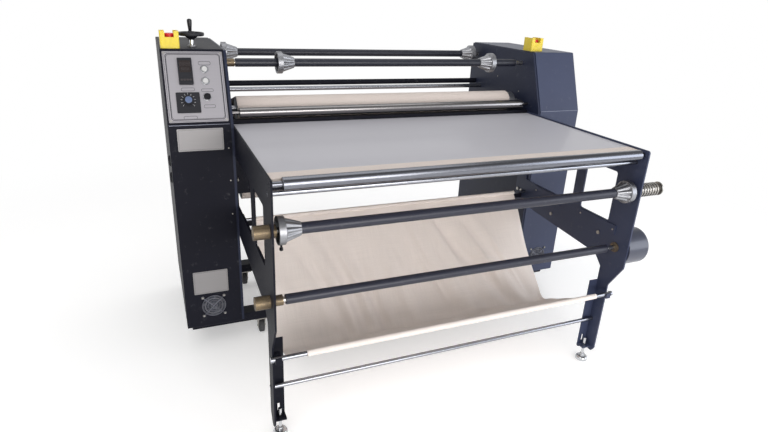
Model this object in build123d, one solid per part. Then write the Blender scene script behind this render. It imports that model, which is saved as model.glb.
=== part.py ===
from build123d import *
from math import asin, atan2, ceil, cos, degrees, hypot, pi, radians, sin, sqrt
import os

# Rotary heat press with a feed table, two side cabinets and a catch cloth.
# Millimetres, +X to the right, +Y to the back, +Z up. Y is counted from the front roller
# and Z from the floor while the pieces are made. At the end everything is moved so that
# the origin is the centre of the overall box, on the floor.

# Overall frame
frame_span = 1352.0          # outer face to outer face of the two side frames
side_plate_t = 6.0
wall_t = 10.0                # bearing walls behind the side frames
cabinet_width = 215.0
cabinet_front = 623.0
cabinet_depth = 627.0
cabinet_bottom = 120.0
cabinet_top = 1200.0
knee_height = 950.0          # where the cabinet front starts to lean back
panel_lean = 99.0            # how far the leaning front runs back
sheet_t = 2.0
wall_inset = 3.0

# Fits
run_fit = 0.05               # radial clearance of a journal in its bore
part_gap = 0.3               # gap between curved faces of different bodies
touch_gap = 0.5

# Side frames and legs
beam_top = 936.0
beam_bottom = 824.0
frame_front = -24.0
frame_rear = 706.0
front_post_rear = 98.0
mid_post_front = 260.0
mid_post_rear = 314.0
window_rear = 640.0
arm_top = 625.0
arm_bottom_front = 470.0
arm_bottom_rear = 503.0
knuckle_z = 470.0
leg_top_z = 370.0
leg_front = 34.0
leg_rear = 90.0
leg_bottom = 50.0
leg_width = 40.0             # flange folded inwards at the leg's rear edge
leg_sheet = 3.0
window_r = 10.0
strip_h = 38.0               # flat bars screwed to the inner faces of the arms
strip_t = 4.0
strip_low = 583.0
front_strip = (51.0, 257.0)
rear_strip = (377.0, 558.0)
slot_width = 8.0
slot_length = 30.0
shoe_low = 64.0              # plate that carries the foot's stud
shoe_t = 6.0

# Levelling feet and castors
foot_stud_r = 6.0
foot_y = 69.0
foot_pad_r = 25.0
foot_pad_t = 18.0
castor_x = 594.0
castor_wheel_r = 30.0
castor_wheel_w = 22.0
castor_axle_r = 4.0
castor_cheek_t = 3.0
castor_plate = 60.0
base_beam_h = 40.0
base_beam_w = 60.0
base_beam_wall = 3.0
front_beam_y = 705.0
rear_beam_y = 1160.0

# Feed table
table_top = 930.0
table_t = 20.0
table_front = 24.0
table_rear = 700.0
table_side_gap = 2.0
felt_t = 4.0
felt_strip = 48.0
ledge_t = 4.0
ledge_w = 24.0
front_roller_z = 918.0
front_roller_r = 19.0
front_roller_len = 1289.0
front_roller_shift = 5.5     # its face sits this far to the right of the middle
front_journal_r = 8.5
table_tube_r = 9.0
table_tube_y = 26.0
table_tube_z = 884.0

# Heated drum and felt blanket
drum_y = 945.0
drum_z = 805.0
drum_r = 105.0
drum_wall = 6.0
drum_len = 1280.0
drum_journal_r = 25.0
drum_bore_r = 16.0
hub_t = 14.0
blanket_t = 6.0
blanket_left = -640.0
blanket_right = 608.0
front_guide_r = 40.0
rear_guide_r = 30.0
front_guide_gap = 71.0
rear_guide_gap = 97.0
front_guide_angle = 130.0
rear_top_angle = 22.0
rear_low_angle = -28.0
guide_side_gap = 34.0
guide_journal_r = 10.0
bearing_len = 16.0
bearing_rim = 16.0
heater_r = 5.0
heater_ring = 9.0
heater_count = 3
bracket_t = 5.0
nip_y = 716.0
nip_z = 970.0
nip_r = 19.0
nip_journal_r = 6.0
infeed_z = 942.0
infeed_t = 3.0
infeed_lip = 292.0

# Shafts for the rolls of fabric and paper
roll_shaft_r = 16.0
roll_shaft_gap = 40.0
roll_journal_r = 9.0
roll_z = 1145.0
front_roll_y = 800.0
rear_roll_y = 1195.0
feed_shaft_r = 17.0
feed_y = 15.0
feed_z = 775.0
feed_side_gap = 25.0
journal_r = 10.0
rewind_shaft_r = 16.0
rewind_y = 38.0
rewind_z = 536.0
rewind_left = -630.0
rewind_right = 624.0
bush_r = 21.0
bush_len = 46.0
bush_neck_r = 15.0
feed_collar_r = 20.0
feed_collar_len = 12.0
rewind_collar_r = 17.0
rewind_collar_len = 32.0
rewind_flange_r = 20.0
rewind_flange_t = 4.0

# Clamping cones
cone_len = 69.0
cone_rim = 21.0
cone_rim_r = 42.0
cone_big_r = 36.0
cone_small_r = 20.5
cone_hollow_r = 32.0
flute_count = 10
flute_r = 4.2
thumb_r = 3.0
thumb_head_r = 5.5
thumb_out = 21.0
feed_cone_left = -585.0      # small ends of the cones along X
feed_cone_right = 582.0
front_cone_left = -408.0
front_cone_right = 442.0
rear_cone_left = -568.0
rear_cone_right = 574.0

# Brake spring on the feed shaft
spring_r = 22.5
spring_wire = 6.0
spring_turns = 7
spring_pitch = 13.0
spring_bend = 5.5
washer_r = 26.0
washer_t = 4.0

# Torque motor and drum drive
torque_r = 70.0
torque_len = 104.0
torque_shaft_r = 9.0
torque_edge = 14.0
torque_cap_r = 20.0
torque_cap_t = 30.0
gearbox = 130.0
gearbox_t = 58.0
gearbox_foot = 18.0
motor_r = 36.0
motor_len = 180.0

# Bars
rear_bar_r = 12.5
rear_bar_y = 1192.0
rear_bar_z = 1008.0
guide_bar_r = 10.0
guide_bar_y = 1136.0
guide_bar_z = 990.0
tie_rod_r = 8.0
tie_rod_y = 76.0
tie_rod_z = 192.0
cloth_bar_r = 8.0
cloth_bar_y = 20.0
cloth_bar_z = 338.0
cloth_rear_r = 6.0
cloth_rear_y = 632.0
cloth_rear_z = 566.0
arm_beam_w = 26.0
arm_beam_h = 24.0
arm_beam_y = 668.0
arm_beam_z = 540.0
hook_w = 20.0
hook_t = 5.0

# Catch cloth
cloth_t = 2.4
cloth_left = -621.0
cloth_right = 606.0
cloth_low_y = 312.0
cloth_low_z = 160.0
cloth_stations = 9
fold_depth = 9.0

# Operator controls
panel_width = 202.0
panel_height = 250.0
panel_t = 2.0
panel_low = 10.0
controller_w = 48.0
controller_h = 94.0
controller_x = -30.0
controller_v = 189.0
controller_bezel = 7.0
controller_depth = 70.0
button_x = 35.0
start_v = 197.0
stop_v = 155.0
selector_v = 98.0
button_r = 9.0
bezel_r = 14.0
bezel_t = 4.0
barrel_len = 24.0
button_out = 3.0
dial_w = 80.0
dial_h = 73.0
dial_t = 2.5
dial_x = -30.0
dial_v = 79.0
knob_r = 16.0
knob_h = 16.0
knob_shaft_r = 3.0
knob_v = 84.0
selector_r = 12.0
selector_h = 15.0
estop_w = 64.0
estop_base = 30.0
estop_guard = 28.0
estop_guard_t = 7.0
estop_notch = 30.0
estop_cap_r = 20.0
estop_cap_t = 13.0
estop_stem_r = 8.0
estop_barrel_r = 11.0
estop_travel = 5.0
left_estop_x = -864.0
left_estop_y = 768.0
right_estop_x = 727.0
right_estop_y = 800.0

# Tension handwheel
wheel_x = -785.0
wheel_y = 818.0
wheel_z = 1238.0
wheel_r = 46.0
wheel_t = 13.0
wheel_rim = 8.0
hub_r = 15.0
screw_r = 8.0
screw_low = 1050.0
grip_r = 9.0
grip_len = 44.0
grip_pin_r = 4.0
grip_offset = 36.0
nut_w = 44.0
nut_h = 30.0
nut_z = 1110.0

# Electrics on the left bearing wall
board_low = 220.0
board_high = 560.0
board_front = 743.0
board_rear = 1063.0
board_t = 3.0

# Fans and fasteners
fan_z = 212.0
left_fan_x = -793.0
right_fan_x = 793.0
fan_r = 44.0
fan_frame = 100.0
fan_frame_t = 25.0
fan_hub_r = 18.0
fan_blades = 7
guard_wire = 2.5
guard_rings = 4
screw_head_r = 3.5
screw_head_t = 2.0
bolt_head_r = 7.0
bolt_head_t = 5.0

# Places worked out from the sizes above
plate_out = frame_span / 2
plate_in = plate_out - side_plate_t
wall_out = plate_out + wall_t
roll_shaft_half = plate_out - roll_shaft_gap
guide_len = 2 * (plate_out - guide_side_gap)
feed_half = plate_in - feed_side_gap
cabinet_out = wall_out + cabinet_width
cabinet_back = cabinet_front + cabinet_depth
cabinet_mid = (wall_out + cabinet_out) / 2
lean_length = hypot(panel_lean, cabinet_top - knee_height)
lean_cos = (cabinet_top - knee_height) / lean_length
lean_sin = panel_lean / lean_length
felt_under = table_top - table_t - felt_t
rewind_journal_end = plate_out + 20.0
mirror_plane = Plane.YZ


def from_drum(angle, gap, radius):
    """Centre (y, z) of a guide roller whose face is a gap away from the drum's face."""
    reach = drum_r + gap + radius
    return (drum_y + reach * cos(radians(angle)), drum_z + reach * sin(radians(angle)))


front_top = from_drum(front_guide_angle, front_guide_gap, front_guide_r)
front_low = from_drum(-front_guide_angle, front_guide_gap, front_guide_r)
rear_top = from_drum(rear_top_angle, rear_guide_gap, rear_guide_r)
rear_low = from_drum(rear_low_angle, rear_guide_gap, rear_guide_r)


def rod(x0, x1, y, z, radius):
    """Cylinder along X."""
    start = Pos(x0, y, z) * Rot(0, 90, 0)
    return start * Cylinder(radius, x1 - x0, align=(Align.CENTER, Align.CENTER, Align.MIN))


def post(x, y, z0, z1, radius):
    """Cylinder along Z."""
    return Pos(x, y, z0) * Cylinder(radius, z1 - z0, align=(Align.CENTER, Align.CENTER, Align.MIN))


def block(x0, x1, y0, y1, z0, z1):
    """Box between two corners."""
    middle = Pos((x0 + x1) / 2, (y0 + y1) / 2, (z0 + z1) / 2)
    return middle * Box(x1 - x0, y1 - y0, z1 - z0)


def plate(points, x0, x1, corner=0.0):
    """Plate square to X, from an outline in Y and Z."""
    if corner > 0:
        outline = FilletPolyline(*points, radius=corner, close=True)
    else:
        outline = Polyline(*points, close=True)
    return extrude(Plane.YZ.offset(x0) * make_face(outline), x1 - x0)


def both_sides(piece):
    """The piece and its mirror image across the middle plane."""
    return [piece, mirror(piece, about=mirror_plane)]


def side_frame():
    """Right side frame: a cut plate with its table ledge and the bores of the front shafts."""
    outline = [
        (frame_front, beam_top),
        (frame_front, knuckle_z),
        (leg_front, leg_top_z),
        (leg_front, leg_bottom + 20),
        (leg_front + 12, leg_bottom),
        (leg_rear - 24, leg_bottom),
        (leg_rear, leg_bottom + 34),
        (leg_rear, arm_bottom_front - 40),
        (leg_rear + 40, arm_bottom_front),
        (window_rear, arm_bottom_rear),
        (frame_rear, arm_bottom_rear),
        (frame_rear, beam_top),
    ]
    body = plate(outline, plate_in, plate_out, corner=window_r)
    for low_y, high_y in ((front_post_rear, mid_post_front), (mid_post_rear, window_rear)):
        hole = [(low_y, arm_top), (high_y, arm_top), (high_y, beam_bottom), (low_y, beam_bottom)]
        body -= plate(hole, plate_in - 1, plate_out + 1, corner=window_r)
    body += block(plate_in - ledge_w, plate_in, table_front + 60, table_rear,
                  felt_under - ledge_t, felt_under)
    for y, z, radius in (
        (0, front_roller_z, front_journal_r + run_fit),
        (table_tube_y, table_tube_z, table_tube_r + run_fit),
        (feed_y, feed_z, journal_r + run_fit),
        (rewind_y, rewind_z, journal_r + run_fit),
        (tie_rod_y, tie_rod_z, tie_rod_r + run_fit),
        (cloth_rear_y, cloth_rear_z, cloth_rear_r + run_fit),
    ):
        body -= rod(plate_in - 1, plate_out + 1, y, z, radius)
    return body


def leg():
    """Right front leg: the flange folded inwards at its rear, the foot's shoe and the bar hook."""
    inner = plate_in - leg_width
    middle = (inner + plate_in) / 2
    flange = block(inner, plate_in, leg_rear - leg_sheet, leg_rear, leg_bottom, leg_top_z)
    corner = flange.edges().filter_by(Axis.Y).group_by(Axis.Z)[0].sort_by(Axis.X)[0]
    flange = fillet(corner, 12)
    slot_z = shoe_low + shoe_t + 10 + slot_length / 2
    slot = Pos(middle, leg_rear, slot_z) * Box(slot_width, 20, slot_length)
    shoe = block(inner, plate_in, foot_y - 17, leg_rear, shoe_low, shoe_low + shoe_t)
    body = flange + shoe - slot
    body -= post(middle, foot_y, leg_bottom, leg_top_z, foot_stud_r + run_fit)
    low_z = cloth_bar_z - cloth_bar_r - hook_t
    hook = block(plate_in - hook_w, plate_in, cloth_bar_y - cloth_bar_r - hook_t, leg_front + 16,
                 low_z, cloth_bar_z + cloth_bar_r)
    hook -= rod(plate_in - hook_w - 1, plate_out + 1, cloth_bar_y, cloth_bar_z, cloth_bar_r + run_fit)
    hook -= block(plate_in - hook_w - 1, plate_out + 1, cloth_bar_y - cloth_bar_r - run_fit,
                  cloth_bar_y + cloth_bar_r + run_fit, cloth_bar_z, cloth_bar_z + 2 * cloth_bar_r)
    return [body, hook]


def arm_strips():
    """Two flat bars screwed to the inner face of the right arm."""
    return [block(plate_in - strip_t, plate_in, low_y, high_y, strip_low, strip_low + strip_h)
            for low_y, high_y in (front_strip, rear_strip)]


def levelling_foot():
    """Right levelling foot: domed pad, stud and lock nut in one turned piece."""
    middle = plate_in - leg_width / 2
    pad = post(middle, foot_y, 0, foot_pad_t, foot_pad_r)
    pad = fillet(pad.edges().group_by(Axis.Z)[-1], foot_pad_t * 0.6)
    stud = post(middle, foot_y, 0, shoe_low + shoe_t + 34, foot_stud_r)
    nut = Pos(middle, foot_y, shoe_low - 9) * extrude(RegularPolygon(10, 6), 9 - touch_gap)
    neck = post(middle, foot_y, 0, foot_pad_t + 9, 10)
    return pad + stud + nut + neck


def cabinet_profile():
    """Side outline of a cabinet as a face in the YZ plane."""
    points = [
        (cabinet_front, cabinet_bottom),
        (cabinet_front, knee_height),
        (cabinet_front + panel_lean, cabinet_top),
        (cabinet_back, cabinet_top),
        (cabinet_back, cabinet_bottom),
    ]
    return make_face(FilletPolyline(*points, radius=5, close=True))


def panel_plane(x):
    """Plane on the leaning front at a given X, with its own up direction along the slope."""
    return Plane(origin=(x, cabinet_front, knee_height), x_dir=(1, 0, 0),
                 z_dir=(0, -lean_cos, lean_sin))


def cabinet_cover():
    """Right cabinet cover: a folded shell, open towards the bearing wall."""
    profile = cabinet_profile()
    outer = extrude(Plane.YZ.offset(wall_out) * profile, cabinet_width)
    outer = fillet(outer.faces().sort_by(Axis.X)[-1].edges(), 3)
    inner_profile = offset(profile, -sheet_t)
    inner = extrude(Plane.YZ.offset(wall_out - 1) * inner_profile, cabinet_width + 1 - sheet_t)
    return outer - inner


def bearing_wall(extra):
    """Right bearing wall: a thick plate with the bores of all shafts and rollers."""
    profile = offset(cabinet_profile(), -wall_inset)
    body = extrude(Plane.YZ.offset(plate_out) * profile, wall_t)
    for y, z, radius in [
        (drum_y, drum_z, drum_journal_r + run_fit),
        (*front_top, guide_journal_r + run_fit),
        (*front_low, guide_journal_r + run_fit),
        (*rear_top, guide_journal_r + run_fit),
        (*rear_low, guide_journal_r + run_fit),
        (nip_y, nip_z, nip_journal_r + run_fit),
        (front_roll_y, roll_z, roll_journal_r + run_fit),
        (rear_roll_y, roll_z, roll_journal_r + run_fit),
    ] + extra:
        body -= rod(plate_out - 1, wall_out + 1, y, z, radius)
    return body


def ring(x0, x1, y, z, outer, inner):
    """Tube along X."""
    return rod(x0, x1, y, z, outer) - rod(x0 - 1, x1 + 1, y, z, inner)


def bearings():
    """Flanged bearing housings on the outer faces of the bearing walls."""
    pieces = []
    for y, z, radius in (
        (drum_y, drum_z, drum_journal_r),
        (*front_top, guide_journal_r),
        (*front_low, guide_journal_r),
        (*rear_top, guide_journal_r),
        (*rear_low, guide_journal_r),
        (nip_y, nip_z, nip_journal_r),
        (front_roll_y, roll_z, roll_journal_r),
        (rear_roll_y, roll_z, roll_journal_r),
    ):
        housing = ring(wall_out, wall_out + bearing_len, y, z, radius + bearing_rim / 2 + 4,
                       radius + run_fit)
        flange = ring(wall_out, wall_out + bearing_len / 3, y, z, radius + bearing_rim, radius + run_fit)
        pieces += both_sides(housing + flange)
    step = block(-wheel_x - screw_r - 12, -wheel_x + screw_r + 12, wheel_y - 20, wheel_y + 20,
                 screw_low - 10, screw_low + 15)
    arm = block(wall_out, -wheel_x, wheel_y - 12, wheel_y + 12, screw_low - 10, screw_low)
    cup = step + arm - post(-wheel_x, wheel_y, screw_low, screw_low + 20, screw_r + run_fit)
    pieces.append(mirror(cup, about=mirror_plane))
    return pieces


def roller(half_length, y, z, radius, neck, left_end, right_end):
    """Roller along X with turned journals."""
    body = rod(-half_length, half_length, y, z, radius)
    body = chamfer(body.edges().filter_by(GeomType.CIRCLE), 1.5)
    return body + rod(left_end, right_end, y, z, neck)


def tangent(first, second):
    """Leave and arrive points of the belt between two circles (y, z, radius, turn)."""
    y1, z1, r1, s1 = first
    y2, z2, r2, s2 = second
    span = hypot(y2 - y1, z2 - z1)
    heading = atan2(z2 - z1, y2 - y1) - asin((s2 * r2 - s1 * r1) / span)
    left = (-sin(heading), cos(heading))
    leave = (y1 - s1 * r1 * left[0], z1 - s1 * r1 * left[1])
    arrive = (y2 - s2 * r2 * left[0], z2 - s2 * r2 * left[1])
    return leave, arrive


def belt_face(circles):
    """Face inside a belt line that passes round the circles in order."""
    count = len(circles)
    lines = [tangent(circles[i], circles[(i + 1) % count]) for i in range(count)]
    edges = []
    for i in range(count):
        y, z, radius, turn = circles[i]
        arrive = lines[i - 1][1]
        leave = lines[i][0]
        start = atan2(arrive[1] - z, arrive[0] - y)
        sweep = (atan2(leave[1] - z, leave[0] - y) - start) * turn % (2 * pi)
        middle = start + turn * sweep / 2
        top = (y + radius * cos(middle), z + radius * sin(middle))
        edges.append(ThreePointArc(arrive, top, leave))
        edges.append(Line(leave, lines[i][1]))
    return make_face(edges)


def felt_blanket():
    """Endless felt that wraps the back of the drum and returns over four guide rollers."""
    near = part_gap
    faces = []
    for grow in (blanket_t, 0.0):
        guide = front_guide_r + near + grow
        back = rear_guide_r + near + grow
        drum = drum_r + near + blanket_t - grow
        faces.append(belt_face([
            (*front_top, guide, 1),
            (drum_y, drum_z, drum, -1),
            (*front_low, guide, 1),
            (*rear_low, back, 1),
            (*rear_top, back, 1),
        ]))
    band = faces[0] - faces[1]
    return extrude(Plane.YZ.offset(blanket_left) * band, blanket_right - blanket_left)


def heated_drum():
    """Drum shell and its two pressed-in hubs with hollow journals."""
    half = drum_len / 2
    shell = ring(-half, half, drum_y, drum_z, drum_r, drum_r - drum_wall)
    pieces = [shell]
    for side in (1, -1):
        reach = wall_out + bearing_len + (gearbox_t + 6 if side > 0 else 4)
        disc = rod(half - hub_t, half, drum_y, drum_z, drum_r - drum_wall)
        neck = rod(half - hub_t, reach, drum_y, drum_z, drum_journal_r)
        hub = disc + neck - rod(half - hub_t - 1, reach + 1, drum_y, drum_z, drum_bore_r)
        pieces.append(hub if side > 0 else mirror(hub, about=mirror_plane))
    return pieces


def heating_tubes():
    """Radiant heater rods through the hollow journals, held by a bracket at each end."""
    right = wall_out + bearing_len + gearbox_t + 12
    left = -(wall_out + bearing_len + 12)
    pieces = []
    places = []
    for i in range(heater_count):
        angle = radians(90 + i * 360 / heater_count)
        places.append((drum_y + heater_ring * cos(angle), drum_z + heater_ring * sin(angle)))
    for y, z in places:
        pieces.append(rod(left - bracket_t - 14, right + bracket_t + 14, y, z, heater_r))
    foot_z = drum_z - gearbox / 2 - motor_len / 4
    for side, face in ((1, right), (-1, -left)):
        upright = block(face, face + bracket_t, drum_y - 20, drum_y + 20, foot_z, drum_z + 22)
        foot = block(wall_out, face + bracket_t, drum_y + 60, drum_y + 90, foot_z, foot_z + bracket_t)
        link = block(face, face + bracket_t, drum_y - 20, drum_y + 90, foot_z, foot_z + 40)
        bracket = upright + link + foot
        for y, z in places:
            bracket -= rod(face - 1, face + bracket_t + 1, y, z, heater_r)
        pieces.append(bracket if side > 0 else mirror(bracket, about=mirror_plane))
    return pieces


def table_board():
    """Glossy feed board with a rebated front edge."""
    half = plate_in - table_side_gap
    body = block(-half, half, table_front, table_rear, table_top - table_t, table_top)
    body -= block(-half - 1, half + 1, table_front - 1, table_front + felt_strip,
                  table_top - felt_t, table_top + 1)
    return body


def table_felt():
    """Felt pad wrapped from the board's front strip, round its edge and under it."""
    half = plate_in - table_side_gap
    strip = block(-half, half, table_front - felt_t, table_front + felt_strip,
                  table_top - felt_t, table_top)
    nose = block(-half, half, table_front - felt_t, table_front, felt_under, table_top)
    under = block(-half, half, table_front - felt_t, table_rear, felt_under, felt_under + felt_t)
    body = strip + nose + under
    corners = body.edges().filter_by(Axis.X).group_by(Axis.Y)[0]
    return fillet(corners, felt_t * 0.8)


def cross_beams():
    """Base tubes, rear bar, arm beam and the infeed plate with its deep front baffle."""
    pieces = []
    for y in (front_beam_y, rear_beam_y):
        half = base_beam_w / 2
        tube = block(-cabinet_out + 20, cabinet_out - 20, y - half, y + half,
                     cabinet_bottom - base_beam_h, cabinet_bottom)
        wall = base_beam_wall
        tube -= block(-cabinet_out, cabinet_out, y - half + wall, y + half - wall,
                      cabinet_bottom - base_beam_h + wall, cabinet_bottom - wall)
        pieces.append(tube)
    pieces.append(rod(-plate_out, plate_out, rear_bar_y, rear_bar_z, rear_bar_r))
    half = arm_beam_w / 2
    pieces.append(block(-plate_in, plate_in, arm_beam_y - half, arm_beam_y + half,
                        arm_beam_z - arm_beam_h / 2, arm_beam_z + arm_beam_h / 2))
    rear_edge = front_top[0] - front_guide_r - blanket_t - 20
    sheet = block(-plate_out, plate_out, frame_rear + 2, rear_edge, infeed_z - infeed_t, infeed_z)
    lip = block(-plate_out, plate_out, frame_rear + 2, frame_rear + 2 + infeed_t,
                infeed_z - infeed_lip, infeed_z)
    pieces.append(sheet + lip)
    return pieces


def castor_fork(x, y):
    """Rigid castor fork with its axle, under a base tube."""
    top = cabinet_bottom - base_beam_h
    half = castor_plate / 2
    cheek = castor_wheel_w / 2 + 1.5
    body = block(x - half, x + half, y - half, y + half, top - 4, top)
    for side in (-1, 1):
        inner = x + side * cheek
        outer = inner + side * castor_cheek_t
        low = min(inner, outer)
        high = max(inner, outer)
        shape = [
            (y - 24, top - 4),
            (y + 24, top - 4),
            (y + 9, castor_wheel_r - 9),
            (y - 9, castor_wheel_r - 9),
        ]
        body += plate(shape, low, high)
    return body + rod(x - cheek - 6, x + cheek + 6, y, castor_wheel_r, castor_axle_r)


def castor_wheel(x, y):
    """Castor wheel with a rounded tread and a bore for the axle."""
    half = castor_wheel_w / 2
    body = rod(x - half, x + half, y, castor_wheel_r, castor_wheel_r)
    body = fillet(body.edges().filter_by(GeomType.CIRCLE), 4)
    return body - rod(x - half - 1, x + half + 1, y, castor_wheel_r, castor_axle_r + run_fit)


def on_panel(x, v, shape, lift=0.0):
    """Place a shape on the left cabinet's leaning front, x from the cabinet's middle."""
    return panel_plane(-cabinet_mid) * Pos(x, v, lift) * shape


def up_cylinder(radius, height):
    """Cylinder that stands on its base."""
    return Cylinder(radius, height, align=(Align.CENTER, Align.CENTER, Align.MIN))


def panel_holes():
    """Everything that is cut through the control panel and the cover behind it."""
    holes = on_panel(controller_x, controller_v, Box(controller_w - 3, controller_h - 3, 30))
    for v in (start_v, stop_v, selector_v):
        holes += on_panel(button_x, v, Cylinder(button_r + 2 + run_fit, 30))
    holes += on_panel(dial_x, knob_v, Cylinder(knob_shaft_r + run_fit, 30))
    return holes


def control_panel():
    """Silver fascia plate on the leaning front."""
    middle_v = panel_low + panel_height / 2
    face = RectangleRounded(panel_width, panel_height, 3)
    return on_panel(0, middle_v, extrude(face, panel_t)) - panel_holes()


def temperature_controller():
    """Upright controller with a bezel in front of the panel and its case behind."""
    bezel = extrude(RectangleRounded(controller_w, controller_h, 2.5), controller_bezel)
    screen = Pos(0, 17, controller_bezel) * Box(controller_w - 8, 44, 2)
    keys = Pos(0, -30, controller_bezel) * Box(controller_w - 8, 20, 1)
    case_box = Box(controller_w - 3 - 2 * run_fit, controller_h - 3 - 2 * run_fit, controller_depth,
                   align=(Align.CENTER, Align.CENTER, Align.MAX))
    return on_panel(controller_x, controller_v, bezel - screen - keys + case_box, panel_t)


def switch_bezels():
    """Chrome rings with their barrels for the two buttons and the selector."""
    pieces = []
    for v in (start_v, stop_v, selector_v):
        rim = chamfer(up_cylinder(bezel_r, bezel_t).edges().group_by(Axis.Z)[-1], 1)
        barrel = Pos(0, 0, -barrel_len) * up_cylinder(button_r + 2, barrel_len)
        bore = Pos(0, 0, -barrel_len + 6) * up_cylinder(button_r + run_fit, barrel_len + bezel_t)
        pieces.append(on_panel(button_x, v, rim + barrel - bore, panel_t))
    return pieces


def push_button(v):
    """Round push button in its bezel."""
    low = -barrel_len + 6 + 5
    body = Pos(0, 0, low) * up_cylinder(button_r, bezel_t + button_out - low)
    body = fillet(body.edges().group_by(Axis.Z)[-1], 1.2)
    return on_panel(button_x, v, body, panel_t)


def selector_knob():
    """Turn switch with a raised bar that points up and to the right."""
    low = -barrel_len + 6 + 2
    stem = Pos(0, 0, low) * up_cylinder(button_r, bezel_t - low + touch_gap)
    head = Pos(0, 0, bezel_t + touch_gap) * up_cylinder(selector_r, 5)
    bar = Rot(0, 0, -45) * Pos(0, 0, bezel_t + touch_gap + 5) * Box(
        8, 2 * selector_r - 2, selector_h - 5, align=(Align.CENTER, Align.CENTER, Align.MIN))
    return on_panel(button_x, selector_v, stem + head + bar, panel_t)


def speed_dial():
    """Square scale plate under the speed knob."""
    face = extrude(RectangleRounded(dial_w, dial_h, 3), dial_t)
    body = on_panel(dial_x, dial_v, face, panel_t)
    return body - on_panel(dial_x, knob_v, Cylinder(knob_shaft_r + run_fit, 30))


def speed_knob():
    """Fluted speed knob on its shaft."""
    lift = panel_t + dial_t + touch_gap
    skirt = up_cylinder(knob_r, 4)
    cap = up_cylinder(knob_r - 3, knob_h)
    cap = chamfer(cap.edges().group_by(Axis.Z)[-1], 1.5)
    shaft = Pos(0, 0, -26) * up_cylinder(knob_shaft_r, 28)
    pointer = Pos(0, knob_r - 4, 4) * Box(2, 6, 2)
    return on_panel(dial_x, knob_v, skirt + cap + shaft + pointer, lift)


def estop_guard_at(x, y):
    """Yellow switch box with raised guard walls, notched in the middle of each side."""
    half = estop_w / 2
    top = cabinet_top + estop_base
    base = block(x - half, x + half, y - half, y + half, cabinet_top, top + estop_guard)
    base = fillet(base.edges().filter_by(Axis.Z), 5)
    well = half - estop_guard_t
    base -= block(x - well, x + well, y - well, y + well, top, top + estop_guard + 1)
    gap = estop_notch / 2
    base -= block(x - gap, x + gap, y - half - 1, y + half + 1, top + 8, top + estop_guard + 1)
    base += post(x, y, cabinet_top - 40, cabinet_top + 1, estop_barrel_r)
    return base - post(x, y, cabinet_top - 34, top + 1, estop_stem_r + run_fit)


def estop_button(x, y):
    """Red mushroom head on its stem."""
    seat = cabinet_top + estop_base + estop_travel + 2
    cap = post(x, y, seat, seat + estop_cap_t, estop_cap_r)
    cap = fillet(cap.edges().group_by(Axis.Z)[-1], 5)
    return cap + post(x, y, cabinet_top - 34 + estop_travel + 2, seat + 1, estop_stem_r)


def handwheel():
    """Handwheel with a dished web, and the tension screw that it turns."""
    wheel = post(wheel_x, wheel_y, wheel_z, wheel_z + wheel_t, wheel_r)
    wheel = fillet(wheel.edges().filter_by(GeomType.CIRCLE), 3.5)
    dish = post(wheel_x, wheel_y, wheel_z + wheel_t - 4, wheel_z + wheel_t + 1, wheel_r - wheel_rim)
    hub = post(wheel_x, wheel_y, wheel_z - 14, wheel_z + wheel_t + 3, hub_r)
    wheel = wheel - dish + hub
    wheel += post(wheel_x, wheel_y + grip_offset, wheel_z + 2, wheel_z + wheel_t + grip_len - 5,
                  grip_pin_r)
    wheel -= post(wheel_x, wheel_y, wheel_z - 20, wheel_z + 4, screw_r)
    screw = post(wheel_x, wheel_y, screw_low + part_gap, wheel_z + 4, screw_r)
    return [wheel, screw]


def handwheel_grip():
    """Turning grip on the handwheel's pin."""
    low = wheel_z + wheel_t + touch_gap
    body = post(wheel_x, wheel_y + grip_offset, low, low + grip_len, grip_r)
    body = fillet(body.edges().group_by(Axis.Z)[-1], 5)
    body = fillet(body.edges().group_by(Axis.Z)[0], 2)
    return body - post(wheel_x, wheel_y + grip_offset, low - 1, low + grip_len - 4,
                       grip_pin_r + run_fit)


def tension_nut():
    """Block that the tension screw drives up and down."""
    half = nut_w / 2
    body = block(wheel_x - half, wheel_x + half, wheel_y - half, wheel_y + half,
                 nut_z - nut_h / 2, nut_z + nut_h / 2)
    body = chamfer(body.edges().filter_by(Axis.Z), 3)
    return body - post(wheel_x, wheel_y, nut_z - nut_h, nut_z + nut_h, screw_r + run_fit)


def cone(small_x, side, y, z, shaft_r, turn):
    """Fluted clamping cone and its thumb screw. side is +1 where the rim faces +X."""
    outline = [
        (0, shaft_r + run_fit),
        (0, cone_small_r),
        (cone_len - cone_rim, cone_big_r),
        (cone_len - cone_rim, cone_rim_r),
        (cone_len, cone_rim_r),
        (cone_len, cone_hollow_r),
        (cone_len - cone_rim + 2, cone_hollow_r),
        (cone_len - cone_rim + 2, shaft_r + run_fit),
    ]
    body = revolve(make_face(Polyline(*outline, close=True)), Axis.X)
    rise = cone_big_r - cone_small_r
    run = cone_len - cone_rim
    tilt = degrees(atan2(rise, run))
    for i in range(flute_count):
        flute = Pos(0, 0, cone_small_r + 1.6) * Rot(0, 90 - tilt, 0) * Pos(0, 0, -6) * up_cylinder(
            flute_r, hypot(rise, run) + 4)
        body -= Rot(i * 360 / flute_count, 0, 0) * flute
    screw_x = cone_len - cone_rim / 2 - 1
    reach = cone_rim_r + thumb_out
    shank = post(screw_x, 0, shaft_r + part_gap, reach, thumb_r)
    head = post(screw_x, 0, reach - 8, reach, thumb_head_r)
    screw = shank + head
    hole = post(screw_x, 0, shaft_r, reach - 10, thumb_r)
    pieces = []
    for piece in (body - Rot(turn, 0, 0) * hole, Rot(turn, 0, 0) * screw):
        shape = piece if side > 0 else mirror(piece, about=mirror_plane)
        pieces.append(Pos(small_x, y, z) * shape)
    return pieces


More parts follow.
